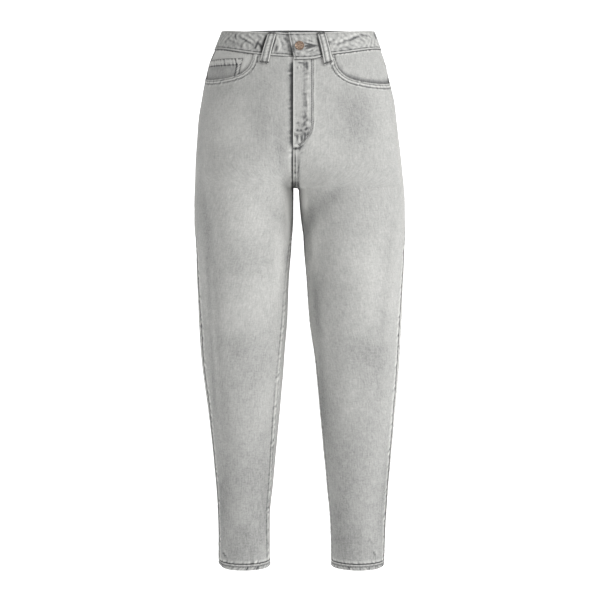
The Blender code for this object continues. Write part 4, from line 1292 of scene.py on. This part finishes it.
    def lay(self, distance: Any, up: Any) -> tuple[Array, Array]:
        """Points and outward normals of the band.

        Height runs from the waist seam to the top line with up from 0 to 1; the normal is the cross product
        of the slope up the seat and the slope round it.

        Args:
            distance: Distance round the waist.
            up: Share of the band's height.

        Returns:
            The points and normals.
        """
        distance, up = np.broadcast_arrays(np.asarray(distance, float), np.asarray(up, float))
        sign, around = self.place(distance)
        seam = self.figure.waist_line(around, self.figure.seam_line)
        drop = self.lap_drop * smooth((distance - self.whole + 66 * MM) / (38 * MM)) * (1 - up)
        height = seam + (self.figure.waist_line(around, self.figure.top_line) - seam) * up - drop
        point = self.seat_points(sign, around, height)
        ahead = self.seat_points(*self.place(distance + MM), height)
        behind = self.seat_points(*self.place(distance - MM), height)
        normal = np.cross(self.seat_points(sign, around, height + MM) - point, ahead - behind)
        normal /= np.linalg.norm(normal, axis=-1, keepdims=True)
        return point + normal * (0.5 * drop)[..., None], normal

    def relief(self, distance: Array, up: Array) -> tuple[Array, Array]:
        """Ripples of the washed band: slanting waves between two bound edges, each with a sewing line.

        The waves' line leans with height and their strength drifts along the band; a second, shorter set
        leans the other way, and both fade at the edges.

        Args:
            distance: Distance round the waist.
            up: Share of the band's height.

        Returns:
            Lift along the normal in metres, and tone.
        """
        rise = up * self.depth
        body = smooth(rise / (7 * MM)) * smooth((self.depth - rise) / (6 * MM))
        lean = 0.9 * rise * np.where(distance % self.whole < self.right, -1, 1)
        group = cloud(distance, rise * 1.6, 34 * MM, 5)
        bend = 4 * MM * cloud(distance, rise, 26 * MM, 6)
        waves = wobble(distance + lean + bend, 11.5 * MM, 21) * (0.55 + 0.65 * group)
        short = wobble(distance - 0.7 * lean + bend, 7 * MM, 22) * (0.5 - 0.5 * group)
        lumps = cloud(distance, rise * 1.3, 8 * MM, 24)
        lift = body * MM * (0.35 * waves + 0.2 * short + 0.2 * lumps)
        # Tone: paler on the ripples' crests and lumps and darker in their troughs, partly wear from washing and partly
        # painted light and shade; the dark line at the band's foot is painted shade in the waist seam.
        tone = body * (0.07 * waves + 0.08 * short + 0.08 * lumps - 0.02)
        tone = tone - 0.42 * bell(rise / (0.6 * MM))
        dashes = 0.75 + 0.35 * wobble(distance, 9 * MM, 26)
        middle = bell(np.minimum(distance % self.whole, -distance % self.whole) / (40 * MM))
        # The sewing lines are painted darker: painted shade in their grooves.
        for line, strength in ((4.0 * MM, 0.42), (self.depth - 3.0 * MM, 0.08 + 0.30 * middle)):
            sunk = bell((rise - line) / (0.8 * MM))
            lift = lift - 0.3 * MM * sunk
            tone = tone - strength * sunk * dashes
        edge = bell((rise - 1.7 * MM) / (1.1 * MM)) + bell((self.depth - rise) / (1.4 * MM))
        small = wobble(distance, 7 * MM, 25)
        return lift + 0.15 * MM * edge * small, tone + edge * (0.10 + 0.05 * small)

    def build(self) -> None:
        """Makes the band, its sewing and the buttonhole."""
        start, end = -self.underlap, self.whole + self.overlap
        places = spread(start, end, 2.4 * MM, 1.0 * MM, (self.overlap, end), 130 * MM)
        ups = spread(0.0, self.depth, 1.2 * MM, 0.6 * MM, (0.0, self.depth), 4 * MM)[:, None] / self.depth
        slant = (self.end_slant[0] + self.end_slant[1] * ups) * smooth((places - end + 45 * MM) / (45 * MM))
        points, normals = self.lay(places + slant, 0.004 + ups * 0.996)
        patch = Patch.lay(points, normals)
        distance, up = np.broadcast_arrays(places + slant, ups)
        under = (distance - self.overlap - slant[:, -1:]) / self.ramp
        covered = 1 - smooth(under - 0.25)
        lift, tone = self.relief(distance, up)
        left = patch.left_over()
        ends = bell(left / (2 * MM))
        line = bell((left - 3.2 * MM) / (0.9 * MM))
        lift = lift * (1 - 0.8 * covered) + self.proud - (self.cloth + 0.85 * MM) * covered
        lift = lift + 0.35 * MM * np.sin(math.pi * up) - 0.25 * MM * line
        # Paler at the lap's end, with its sewing line and the covered underlap painted darker: painted shade.
        patch.press(lift, tone + 0.18 * ends - 0.34 * line - 0.10 * covered)
        patch.draw((*self.creases, *self.marks))
        patch.draw(self.creases, behind=True)
        band = self.maker.wall("waistband_cloth", patch, self.cloth, "washed_denim", ["waistband"])
        self.maker.sheet(band, patch, (0.68, 0.085))
        lines = []
        for rise in (4.0 * MM, self.depth - 3.0 * MM):
            lines.append(patch.at(np.full(len(places), rise / self.depth * (len(ups) - 1)), np.arange(len(places), dtype=float)))
        lines.append(patch.beside(3.2 * MM, from_last=True))
        self.maker.stitches("sewing_waistband", lines)
        self.buttonhole()
        LOG.info("waistband")

    def buttonhole(self) -> None:
        """A thread-bound slit: an oval welt with a groove along its middle and fine ribs across it."""
        along = np.linspace(-1, 1, 90)
        across = np.linspace(-1, 1, 15)[:, None]
        width = 2.1 * MM * np.sqrt(np.clip(1 - np.abs(along) ** 4, 0.02, 1))
        distance = self.whole - 28.5 * MM + along * 9.5 * MM
        up = 0.48 + across * width / self.depth
        points, normals = self.lay(distance, up)
        lift = self.relief(*np.broadcast_arrays(distance, up))[0]
        patch = Patch.lay(points, normals)
        ribs = np.sin(2 * math.pi * along * 9.5 / 0.62)
        welt = np.sqrt(1 - np.abs(across) ** 3) * np.sqrt(np.clip(1 - np.abs(along) ** 6, 0, 1))
        slit = bell(across / 0.16) * (np.abs(along) < 0.86)
        dome = self.proud + 0.35 * MM * np.sin(math.pi * up) + lift
        # The welt is darker all over, and its slit darker still: painted shade in the slit.
        patch.press(dome + MM * (0.62 * welt + 0.05 * ribs - 0.5 * slit), -0.30 + 0.08 * ribs - 0.35 * slit)
        hole = self.maker.wall("buttonhole", patch, 0.7 * MM, "washed_denim")
        self.maker.sheet(hole, patch, (0.02, 0.01))


@dataclass
class BeltLoops:
    """Folded strips over the band: wider than thick, sewn along both edges and tacked at both ends."""

    band: Waistband
    maker: Maker
    dark_thread: bpy.types.Material
    width: float = 14 * MM
    cloth: float = 2.0 * MM
    rows: tuple[tuple[float, float], ...] = (
        (-14, 0.55), (-9, 0.9), (-2, 1.45), (4, 2.8), (9, 3.8), (16, 4.3), (23, 4.2), (29, 3.6), (34, 2.4),
        (37.6, 1.4),
    )
    places: tuple[tuple[str, float | None, float], ...] = (
        ("belt_loop_front_right", 40 * MM, -6.2 * MM),
        ("belt_loop_back_right", 258 * MM, 0.0),
        ("belt_loop_back", None, 0.0),
        ("belt_loop_back_left", -258 * MM, 0.0),
        ("belt_loop_front_left", -52.5 * MM, 5 * MM),
    )

    def stand(self, rise: Array) -> Array:
        """How far the strip stands off the band at each height over the seam: soft steps between the rows."""
        table = np.array(self.rows) * MM
        return np.interp(rise, table[:, 0], table[:, 1])

    def strip(self, name: str, distance: float, lean: float, seed: int) -> None:
        """One loop: a strip with rolled pale edges, a sunken line inside each and a puckered middle.

        Args:
            name: The solid that it replaces.
            distance: Place round the waist.
            lean: How far its top lies from straight above its foot.
            seed: Picks the puckers.
        """
        low, high = self.rows[0][0] * MM, self.rows[-1][0] * MM
        rise = spread(low, high, 1.1 * MM, 0.6 * MM, (low, high), 4 * MM)[:, None]
        across = np.linspace(-0.5, 0.5, 19)
        up = rise / self.band.depth
        points, normals = self.band.lay(distance + lean * (up - 0.5) + across * self.width, up)
        patch = Patch.lay(points, normals)
        edge = bell((np.abs(across) - 0.46) / 0.08) + 0.8 * bell((across + 0.02) / 0.07)
        line = bell((np.abs(across) - 0.30) / 0.08)
        pucker = wobble(rise + 0.3 * across * self.width, 5.5 * MM, seed) * (0.6 + 0.4 * np.cos(9 * across))
        roll = 0.5 * MM * bell((np.abs(across) - 0.5) / 0.04)
        lift = self.stand(rise) + self.cloth + MM * (0.22 * edge - 0.28 * line + 0.14 * pucker) - roll
        tack = bell((rise - low - 2.2 * MM) / (1.3 * MM)) + bell((high - rise - 2 * MM) / (1.3 * MM))
        # Tone: pale rolled edges, painted shade in the sunken sewing lines, puckers paler on their crests and darker
        # between, and dark where the dark tacks sit.
        tone = 0.2 * edge - 0.36 * line + 0.10 * pucker - 0.55 * tack
        patch.press(lift, tone)
        loop = self.maker.wall(name + "_cloth", patch, self.cloth * 0.8, "washed_denim", [name])
        self.maker.sheet(loop, patch, (0.055, 0.03))
        lines = []
        for share in (-0.30, 0.30):
            column = np.full(len(rise), (share + 0.5) * 18)
            lines.append(patch.at(np.arange(len(rise), dtype=float), column))
        self.maker.stitches("sewing_" + name, lines, 2.6 * MM)
        tacks = []
        for row in (1.2, 2.1, 3.0, 3.9, len(rise) - 4.0, len(rise) - 3.0):
            tacks.append(patch.at(np.full(14, row), np.linspace(1.5, 16.5, 14)))
        self.maker.stitches("tack_" + name, tacks, 1.5 * MM, self.dark_thread)

    def build(self) -> None:
        """Makes the five loops."""
        for seed, (name, distance, lean) in enumerate(self.places):
            place = self.band.right if distance is None else distance % self.band.whole
            self.strip(name, place, lean, seed + 31)
        LOG.info("belt loops")


@dataclass
class Button:
    """The turned metal shank button at the waist."""

    band: Waistband
    maker: Maker
    copper: bpy.types.Material
    radius: float = 8.4 * MM
    inset: float = 17.6 * MM
    up: float = 0.50

    def build(self) -> None:
        """Carries a domed profile round the button's axis: raised rim, dished ring and low centre."""
        distance = self.band.whole + self.band.overlap - self.inset
        foot, normal = self.band.lay(distance, self.up)
        foot = foot + normal * (self.band.proud + 0.9 * MM)
        level = np.cross(normal, [0, 0, 1.0])
        level /= np.linalg.norm(level)
        upright = np.cross(level, normal)
        profile = np.array([
            (0.02, 0.0), (0.5, 0.0), (0.56, 0.25), (0.56, 1.1), (0.86, 1.35), (0.96, 1.6), (1.0, 2.0), (1.0, 2.5),
            (0.985, 2.85), (0.95, 3.1), (0.90, 3.2), (0.86, 3.18), (0.82, 3.05), (0.79, 2.85), (0.74, 2.8),
            (0.66, 2.88), (0.55, 3.05), (0.45, 3.2), (0.36, 3.3), (0.33, 3.25), (0.30, 3.1), (0.26, 3.12),
            (0.2, 3.3), (0.12, 3.4), (0.02, 3.44),
        ])
        turns = np.linspace(0, 2 * math.pi, 56, endpoint=False)
        ring = np.cos(turns)[:, None] * level + np.sin(turns)[:, None] * upright
        points = foot + profile[:, 1, None, None] * MM * normal + profile[:, 0, None, None] * self.radius * ring
        rows, count = points.shape[:2]
        row, place = np.meshgrid(np.arange(rows - 1), np.arange(count), indexing="ij")
        a, b = (row * count + place).ravel(), (row * count + (place + 1) % count).ravel()
        faces = np.stack([a, b, b + count, a + count], axis=1)
        half = np.arange(1, count // 2)
        cap = np.stack([half - 1, half, count - 1 - half, (count - half) % count], axis=1)
        faces = np.concatenate([faces, cap[:, ::-1], cap + (rows - 1) * count])
        made = self.maker.mesh("waist_button_turned", points.reshape(-1, 3), faces, [self.copper])
        self.maker.outward(made)
        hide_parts("waist_button")
        LOG.info("button")


@dataclass
class Pockets:
    """Front facings, coin pocket and back pockets."""

    panels: LegPanels
    maker: Maker
    # dark holds the lighter pocket denim: a copy of the washed denim with painted light.
    dark: bpy.types.Material
    cloth: float = 1.0 * MM
    lay: float = 0.55 * MM
    margin: float = 14 * MM
    top: float = 22 * MM
    inset: float = 35 * MM
    width: float = 138 * MM
    foot_width: float = 118 * MM
    side_length: float = 126 * MM
    point: float = 22 * MM
    coin_top: tuple[float, float] = (93 * MM, -45.5 * MM)
    coin_foot: tuple[float, float] = (107 * MM, -92 * MM)
    coin_rise: float = 3 * MM

    def lift(self, side: Side, around: Array, height: Array) -> Array:
        """Outer face of the facing: under the front panel's edge, rising to the seams above it."""
        above = height - self.panels.scoop(side, around)
        under = self.panels.cloth + self.lay
        room = self.cloth + self.lay if side is Side.RIGHT else 0.0
        return (under - 0.3 * MM) * smooth((above - 3 * MM) / (16 * MM)) - under - room

    def facing(self, side: Side) -> None:
        """The cloth in the pocket's opening, which runs on a little under the front panel."""
        figure = self.panels.figure
        start = self.panels.start(side)
        columns = np.linspace(start + 0.002, 0.4993, 70)
        top = figure.waist_line(columns, figure.seam_line) - 0.15 * MM
        foot = np.minimum(self.panels.scoop(side, columns), top) - self.margin
        height = foot + (top - foot) * np.linspace(0, 1, 46)[:, None]
        around = np.broadcast_to(columns, height.shape)
        points, normals = figure.cloth(side, around, height)
        patch = Patch.lay(points, normals)
        soft = 0.35 * MM * cloud(around * 0.56, height, 0.03, 70 + side.value)
        below = self.panels.scoop(side, around) - height
        shade = -0.22 * bell((below + 2.5 * MM) / (5 * MM))
        # The facing on the wearer's right is painted lighter than the left one: painted light; shade is a painted
        # shadow under the front panel's folded edge.
        base = 0.115 if side is Side.RIGHT else -0.02
        patch.press(self.lift(side, around, height) + soft - 0.3 * MM, base + shade)
        seam = Seam(2 * MM, 0.0, 0.25 * MM, 8 * MM, 0.3, seed=75)
        patch.press(*seam.relief(top - height, patch.across))
        name = "pocket_facing_" + side.word
        finish = self.dark if side is Side.RIGHT else None
        made = self.maker.wall(name + "_cloth", patch, self.cloth, "pocket_denim", [name], finish)
        self.maker.sheet(made, patch, (0.16, 0.12))

    def coin(self) -> None:
        """The small patch pocket: puckered double hem along its top, felled edge towards the front."""
        side, figure = Side.RIGHT, self.panels.figure
        up = np.linspace(0, 1, 40)[:, None]
        share = np.linspace(0, 1, 60)
        level = self.coin_top[1] + self.coin_rise * share
        height = self.coin_foot[1] + (level - self.coin_foot[1]) * up
        distance = self.coin_foot[0] + (self.coin_top[0] - self.coin_foot[0]) * up[:, 0]
        first = figure.around_at(side, distance, height[:, 0])[:, None]
        around = first + (0.4955 - first) * share
        points, normals = figure.cloth(side, around, height)
        patch = Patch.lay(points, normals)
        lift = self.lift(side, around, height) + self.lay + self.cloth - 0.25 * MM
        patch.press(lift, -0.105)
        hem = Seam(10 * MM, 0.3 * MM, 0.7 * MM, 7 * MM, 0.6, (2 * MM, 8.5 * MM), 0.2 * MM, 0.55, 0.32, 77)
        patch.press(*hem.relief(level - height, patch.across))
        edge = Seam(7 * MM, 0.25 * MM, 0.5 * MM, 6 * MM, 0.8, (1.8 * MM, 6.4 * MM), 0.2 * MM, 0.5, 0.20, 78)
        patch.press(*edge.relief(patch.across, height))
        made = self.maker.wall("coin_pocket_cloth", patch, self.cloth, "pocket_denim", ["coin_pocket"], self.dark)
        self.maker.sheet(made, patch, (0.08, 0.07))
        lines = [patch.below(2 * MM), patch.below(7.5 * MM), patch.beside(1.8 * MM), patch.beside(6.4 * MM)]
        self.maker.stitches("sewing_coin_pocket", lines, 2.6 * MM)

    def back(self, side: Side) -> None:
        """A five-sided patch pocket with a hemmed top and two rows of sewing inside its edges."""
        figure = self.panels.figure
        across = np.linspace(-1, 1, 74)
        up = np.linspace(0, 1, 84)[:, None]
        middle = self.inset + self.width / 2
        width = self.foot_width + (self.width - self.foot_width) * up
        distance = middle + across * width / 2
        high = self.panels.yoke(0.8) - self.top
        top = high + (distance - middle) * 0.12
        foot = high - self.side_length - self.point * (1 - np.abs(across))
        height = foot + (top - foot) * up
        around = figure.around_at(side, distance, height, from_back=True)
        points, normals = figure.cloth(side, around, height)
        patch = Patch.lay(points, normals)
        patch.press(self.lay + self.cloth, 0.0)
        edge = np.minimum(patch.across, patch.left_over())
        seam = Seam(8 * MM, 0.25 * MM, 0.35 * MM, 9 * MM, 0.5, (1.8 * MM, 7.6 * MM), 0.25 * MM, 0.32, 0.12, 85)
        patch.press(*seam.relief(np.minimum(edge, patch.up), patch.up + patch.across))
        hem = Seam(13 * MM, 0.3 * MM, 0.4 * MM, 9 * MM, 0.4, (2 * MM, 12 * MM), 0.25 * MM, 0.3, 0.12, 86)
        patch.press(*hem.relief(patch.up[-1:] - patch.up, patch.across))
        name = "back_pocket_" + side.word
        made = self.maker.wall(name + "_cloth", patch, self.cloth, "washed_denim", [name])
        self.maker.sheet(made, patch, (0.15, 0.16))
        lines = [patch.below(2 * MM), patch.below(12 * MM)]
        for inner in (1.8 * MM, 7.6 * MM):
            lines += [patch.beside(inner), patch.beside(inner, from_last=True), patch.below(inner, from_foot=True)]
        self.maker.stitches("sewing_" + name, lines)

    def build(self) -> None:
        """Makes every pocket piece."""
        for side in Side:
            self.facing(side)
            self.back(side)
        self.coin()
        LOG.info("pockets")


@dataclass
class Fly:
    """The J-shaped double layer over the closure, with its folded free edge on the centre line."""

    panels: LegPanels
    maker: Maker
    dark_thread: bpy.types.Material
    width: float = 34 * MM
    foot: float = -207.5 * MM
    straight: float = -158 * MM
    # Creases and dashes on the fly, with painted shade in each trough and a painted highlight on each ridge.
    marks: tuple[Stroke, ...] = (
        Stroke(3.7, -53.2, -4, 5.4, 1.25, -0.2, -0.1, 0),
        Stroke(4.9, -56, -4, 4.8, 1.43, 0.3, 0.36, 0),
        Stroke(4.4, -51.5, -5, 5.2, 1.4, -0.2, -0.16, 0),
        Stroke(-0.8, -64.9, -73, 1.9, 1.6, 0.3, 0.2, 0.1),
        Stroke(5.3, -64, -68, 1.9, 1.6, 0.3, 0.18, 0.1),
        Stroke(16.2, -61.7, -88, 8.5, 2.14, 0.5, 0.3, 0.1),
        Stroke(15.3, -75.5, 22, 4.8, 1.6, 0.3, 0.1, 0.08),
        Stroke(14.5, -128.1, -86, 13.4, 1.78, 0.4, 0.12, 0.1),
        Stroke(-1.5, -192.4, -92, 6.2, 1.43, 0.4, 0.3, 0),
        Stroke(6.9, -192.3, -93, 6.2, 1.43, 0.4, 0.3, 0),
        Stroke(12.6, -189.2, -94, 5.8, 1.43, 0.4, 0.3, 0),
        Stroke(18, -183.8, -98, 5, 1.43, 0.3, 0.24, 0),
        Stroke(2.5, -192.8, -92, 6.7, 1.43, -0.3, -0.14, 0),
        Stroke(2.8, -182.4, 5, 6.3, 1.25, -0.3, -0.14, 0),
        Stroke(-3.1, -209.1, -15, 4.8, 1.43, 0.2, 0.55, 0),
        Stroke(5.7, -207.7, 33, 5, 1.43, 0.2, 0.5, 0),
        Stroke(-1.1, -177.9, 5, 2, 1.96, 0.4, 0.26, 0),
        Stroke(5.6, -178.1, 34, 1.6, 1.96, 0.4, 0.24, 0),
        Stroke(14.8, -175.4, 47, 3.7, 1.96, 0.4, 0.22, 0.1),
        Stroke(-0.4, -164.7, 21, 2.5, 1.6, 0.3, 0.18, 0.08),
        Stroke(13.9, -162.5, 45, 5.7, 1.96, 0.3, 0.18, 0.1),
        Stroke(14, -150.4, -68, 3.8, 1.78, 0.3, 0.18, 0.08),
    )

    def line(self, offset: float) -> tuple[Array, Array]:
        """Distances and heights along the J, moved outwards by an offset: a quarter oval, then upright."""
        turn = np.linspace(0.03, math.pi / 2, 60)
        reach, drop = self.width + offset, self.straight - self.foot + offset * 0.6
        curve = np.stack([reach * np.sin(turn), self.straight - drop * np.cos(turn)], axis=1)
        rise = np.linspace(self.straight, -0.052, 60)[1:]
        upright = np.stack([np.full(59, reach), rise], axis=1)
        line = np.concatenate([curve, upright])
        return line[:, 0], line[:, 1]

    def build(self) -> None:
        """Makes the shell: thick at its free edge, thinning to nothing at the J, with a puckered outer strip."""
        figure = self.panels.figure
        share = np.linspace(0, 1, 46)
        distance = self.width * share
        low = self.foot + (self.straight - self.foot) * (1 - np.sqrt(1 - share**2))
        top = figure.waist_line(0.03, figure.seam_line) - 1.2 * MM
        height = low + (top - low) * np.linspace(0, 1, 100)[:, None]
        around = figure.around_at(Side.LEFT, np.broadcast_to(distance, height.shape), height)
        points, normals = figure.cloth(Side.LEFT, around, height)
        patch = Patch.lay(points, normals)
        reach = np.broadcast_to(distance, height.shape)
        to_edge = np.minimum(self.width - reach, (height - low) * 0.7)
        body = smooth(to_edge / (9 * MM))
        edge = bell(reach / (2.4 * MM))
        strip = bell((reach - 23 * MM) / (7 * MM)) * smooth((height - self.foot - 10 * MM) / (20 * MM))
        streak = bell((reach - 19.5 * MM) / (2.6 * MM)) * (0.55 + 0.45 * wobble(height, 46 * MM, 53))
        ridge = bell((reach - 26.5 * MM) / (2.4 * MM)) * (0.6 + 0.4 * wobble(height, 38 * MM, 54))
        waves = wobble(height + 0.4 * reach, 14 * MM, 51)
        short = wobble(height - 0.3 * reach, 8 * MM, 52)
        low_end = bell((height - self.straight + 26 * MM) / (24 * MM)) * smooth((reach - 1 * MM) / (6 * MM))
        swell = 0.15 * MM + body * 1.1 * MM + edge * 0.55 * MM
        ripple = MM * (strip * (0.2 * waves + 0.16 * short) + low_end * 0.4 * waves - 0.55 * streak + 0.3 * ridge)
        groove = bell((reach - 2.6 * MM) / (0.9 * MM)) * 0.2 * MM
        thickness = np.maximum(0.1 * MM, swell + ripple * body - groove - 0.05 * MM)
        # Tone: pale at the folded free edge, painted shade in the strip's trough and a painted highlight on its ridge,
        # uneven puckers, and painted shade along the J where the fly meets the panel.
        tone = 0.13 * edge - 0.05 * strip + 0.06 * strip * (waves + short) + 0.12 * low_end * waves
        tone = tone - 0.16 * streak + 0.08 * ridge - 0.10 * low_end * smooth((reach - 4 * MM) / (6 * MM))
        tone = tone - 0.36 * bell((to_edge - 0.6 * MM) / (1.2 * MM)) * (reach > 6 * MM)
        patch.press(thickness + 0.05 * MM, tone)
        patch.draw(self.marks)
        made = self.maker.wall("fly_placket_cloth", patch, thickness, "washed_denim", ["fly_placket"])
        self.maker.sheet(made, patch, (0.05, 0.17))
        self.sew(patch)
        LOG.info("fly")

    def sew(self, patch: Patch) -> None:
        """Two rows along the J, one inside the free edge, and two dark tacks near its foot."""
        figure = self.panels.figure
        lines = []
        for offset in (-1.4 * MM, 2.4 * MM):
            distance, height = self.line(offset)
            around = figure.around_at(Side.LEFT, distance, height)
            points, normals = figure.cloth(Side.LEFT, around, height)
            lines.append((points + normals * (0.35 if offset < 0 else 0.12) * MM, normals))
        self.maker.stitches("sewing_fly", lines)
        tacks = []
        for row in range(7):
            turn = np.linspace(0, 1, 12)
            distance = 1.5 * MM + 14 * MM * turn
            height = -0.1875 + 0.9 * MM * row - 3 * MM * turn
            points, normals = figure.cloth(Side.LEFT, figure.around_at(Side.LEFT, distance, height), height)
            tacks.append((points + normals * 1.35 * MM, normals))
        self.maker.stitches("tack_fly", tacks, 1.7 * MM, self.dark_thread)


@dataclass
class Hems:
    """Folded hems: rings of doubled cloth with rope-like twisting below one row of sewing."""

    figure: Figure
    maker: Maker
    depth: float = 12.5 * MM
    cloth: float = 2.4 * MM
    line: float = 7.4 * MM

    def ring(self, side: Side) -> None:
        """One hem: its profile is carried round the leg and waves lean along it, as washing leaves them."""
        rise = spread(0.0, self.depth, 1.1 * MM, 0.45 * MM, (0.0, self.depth), 2.5 * MM)[:, None]
        columns = np.linspace(0, 1, 240, endpoint=False)
        worn = (4.0 if side is Side.RIGHT else 1.0) * MM * bell((columns - 0.5) / 0.07) * (1 - rise / self.depth)
        height = self.figure.hem + rise + worn
        points, normals = self.figure.cloth(side, columns, height)
        patch = Patch.lay(points, normals)
        seed = 130 + side.value
        around = patch.across[len(rise) // 2] * np.ones(height.shape)
        rope = wobble(around + 0.9 * rise, 8.5 * MM, seed)
        body = smooth((self.line - rise) / (2 * MM)) * smooth(rise / (2 * MM))
        sunk = bell((rise - self.line) / (0.9 * MM))
        round_foot = -0.9 * MM * bell(rise / (0.8 * MM))
        lift = 0.3 * MM + round_foot + body * (0.3 + 0.5 * rope) * MM - 0.4 * MM * sunk
        pucker = wobble(around, 8 * MM, seed + 4)
        above = smooth((rise - self.line) / (1.5 * MM))
        lift = lift + above * 0.3 * MM * pucker
        pale = bell((rise - self.line - 2.4 * MM) / (1.5 * MM))
        knots = smooth((wobble(around, 17 * MM, seed + 9) - 0.35) / 0.4)
        # Tone: paler rope crests, painted shade in the sewing line, a pale band above it, a painted shadow at the hem's
        # top edge, darker knots in the rope, a pale foot, and the whole hem a little darker.
        tone = body * (0.13 * rope + 0.05) - 0.4 * sunk * (0.85 + 0.35 * pucker) + 0.16 * pale
        tone = tone + above * 0.08 * pucker - 0.5 * knots * body * smooth((0.2 + rope) / 0.5)
        tone = tone + 0.06 * bell(rise / (1.5 * MM)) - 0.6 * bell((self.depth - rise) / (1.3 * MM)) - 0.12
        patch.press(lift, tone)
        name = "hem_" + side.word
        made = self.maker.wall(name + "_cloth", patch, self.cloth, "washed_denim", [name], closed=True)
        self.maker.sheet(made, patch, (0.32, 0.03))
        self.maker.stitches("sewing_" + name, [patch.below(self.line, from_foot=True)])

    def build(self) -> None:
        """Makes both hems."""
        for side in Side:
            self.ring(side)
        LOG.info("hems")


@dataclass
class Studio:
    """Pale floor and backdrop, soft light from the viewer's right, and the camera."""

    distance: float = 2.8
    eye: float = -0.357
    lens: float = 90.65
    drop: float = -0.1152
    floor: float = -1.13

    def camera(self) -> None:
        """A long lens at thigh height, level, its frame shifted down to the knees as in the photograph."""
        made = bpy.data.objects.new("camera", bpy.data.cameras.new("camera"))
        bpy.context.scene.collection.objects.link(made)
        made.location = (0.0037, -self.distance, self.eye)
        made.rotation_euler = (math.pi / 2, 0, 0)
        made.data.lens, made.data.sensor_width = self.lens, 36.0
        made.data.shift_y = self.drop
        bpy.context.scene.camera = made

    def sweep(self) -> None:
        """A floor that curves up into a backdrop: a flat run, a quarter circle, then a wall."""
        radius, flat, wall = 1.2, 5.7, 4.5
        walk = np.concatenate([np.linspace(0, flat, 12), np.linspace(flat, flat + radius * math.pi / 2, 24)[1:],
                               flat + radius * math.pi / 2 + np.linspace(0, wall, 8)[1:]])
        turn = np.clip((walk - flat) / radius, 0, math.pi / 2)
        y = np.minimum(walk, flat) - 3.4 + radius * np.sin(turn)
        z = self.floor + radius * (1 - np.cos(turn)) + np.maximum(walk - flat - radius * math.pi / 2, 0)
        x = np.linspace(-6, 6, 13)
        points = np.stack(np.broadcast_arrays(x[None, :], y[:, None], z[:, None]), axis=-1).reshape(-1, 3)
        row, place = np.meshgrid(np.arange(len(walk) - 1), np.arange(12), indexing="ij")
        a = (row * 13 + place).ravel()
        faces = np.stack([a, a + 1, a + 14, a + 13], axis=1)
        mesh = bpy.data.meshes.new("studio_floor")
        mesh.from_pydata(points.tolist(), [], faces.tolist())
        mesh.shade_smooth()
        paper = Shader("pale_paper")
        paper.feed(Base_Color=(0.93, 0.93, 0.93, 1.0), Roughness=0.95)
        paper.feed(Emission_Color=(1.0, 1.0, 1.0, 1.0), Emission_Strength=0.62)
        mesh.materials.append(paper.material)
        made = bpy.data.objects.new("studio_floor", mesh)
        bpy.context.scene.collection.objects.link(made)

    def light(self, name: str, place: tuple[float, float, float], size: float, watts: float) -> None:
        """A square area light that faces the thighs."""
        lamp = bpy.data.lights.new(name, "AREA")
        lamp.size, lamp.energy = size, watts
        made = bpy.data.objects.new(name, lamp)
        bpy.context.scene.collection.objects.link(made)
        made.location = place
        way = np.array([0.0, 0.0, -0.45]) - np.array(place)
        flat = math.hypot(way[0], way[1])
        made.rotation_euler = (math.atan2(flat, -way[2]), 0, math.atan2(-way[0], way[1]))

    def build(self) -> None:
        """Sets the world, lights, floor and camera."""
        world = bpy.data.worlds.new("studio")
        bpy.context.scene.world = world
        bpy.context.scene.view_settings.view_transform = "Standard"
        world.use_nodes = True
        sky = world.node_tree.nodes["Background"]
        sky.inputs["Color"].default_value = (1.0, 1.0, 1.0, 1.0)
        sky.inputs["Strength"].default_value = 0.26
        self.light("key_from_right", (2.7, -1.8, 1.3), 1.3, 88.0)
        self.light("soft_front", (-0.8, -3.0, 1.3), 2.0, 22.0)
        self.sweep()
        self.camera()
        LOG.info("studio")


def main() -> None:
    """Builds every sub-assembly in order."""
    logging.basicConfig(level=logging.INFO, format="%(name)s: %(message)s")
    figure = Figure()
    denim = Denim("washed_denim_cloth").make()
    # A dark copy of the denim for every inner face: painted shade, as the garment's inside lies in shadow.
    inside = Denim("denim_inside", level=0.04, mottle=0.05).make()
    maker = Maker(denim, inside, Thread().make())
    dark_thread = Thread("tack_thread", (0.17, 0.17, 0.165)).make()
    # A lighter copy of the washed denim, painted light, for the coin pocket and the facing on the wearer's right.
    pocket_denim = Denim("pocket_denim_cloth", level=0.70).make()
    panels = LegPanels(figure, maker)
    band = Waistband(figure, maker)
    panels.build()
    band.build()
    BeltLoops(band, maker, dark_thread).build()
    Button(band, maker, Copper().make()).build()
    Pockets(panels, maker, pocket_denim).build()
    Fly(panels, maker, dark_thread).build()
    Hems(figure, maker).build()
    Studio().build()


if __name__ == "__main__":
    main()
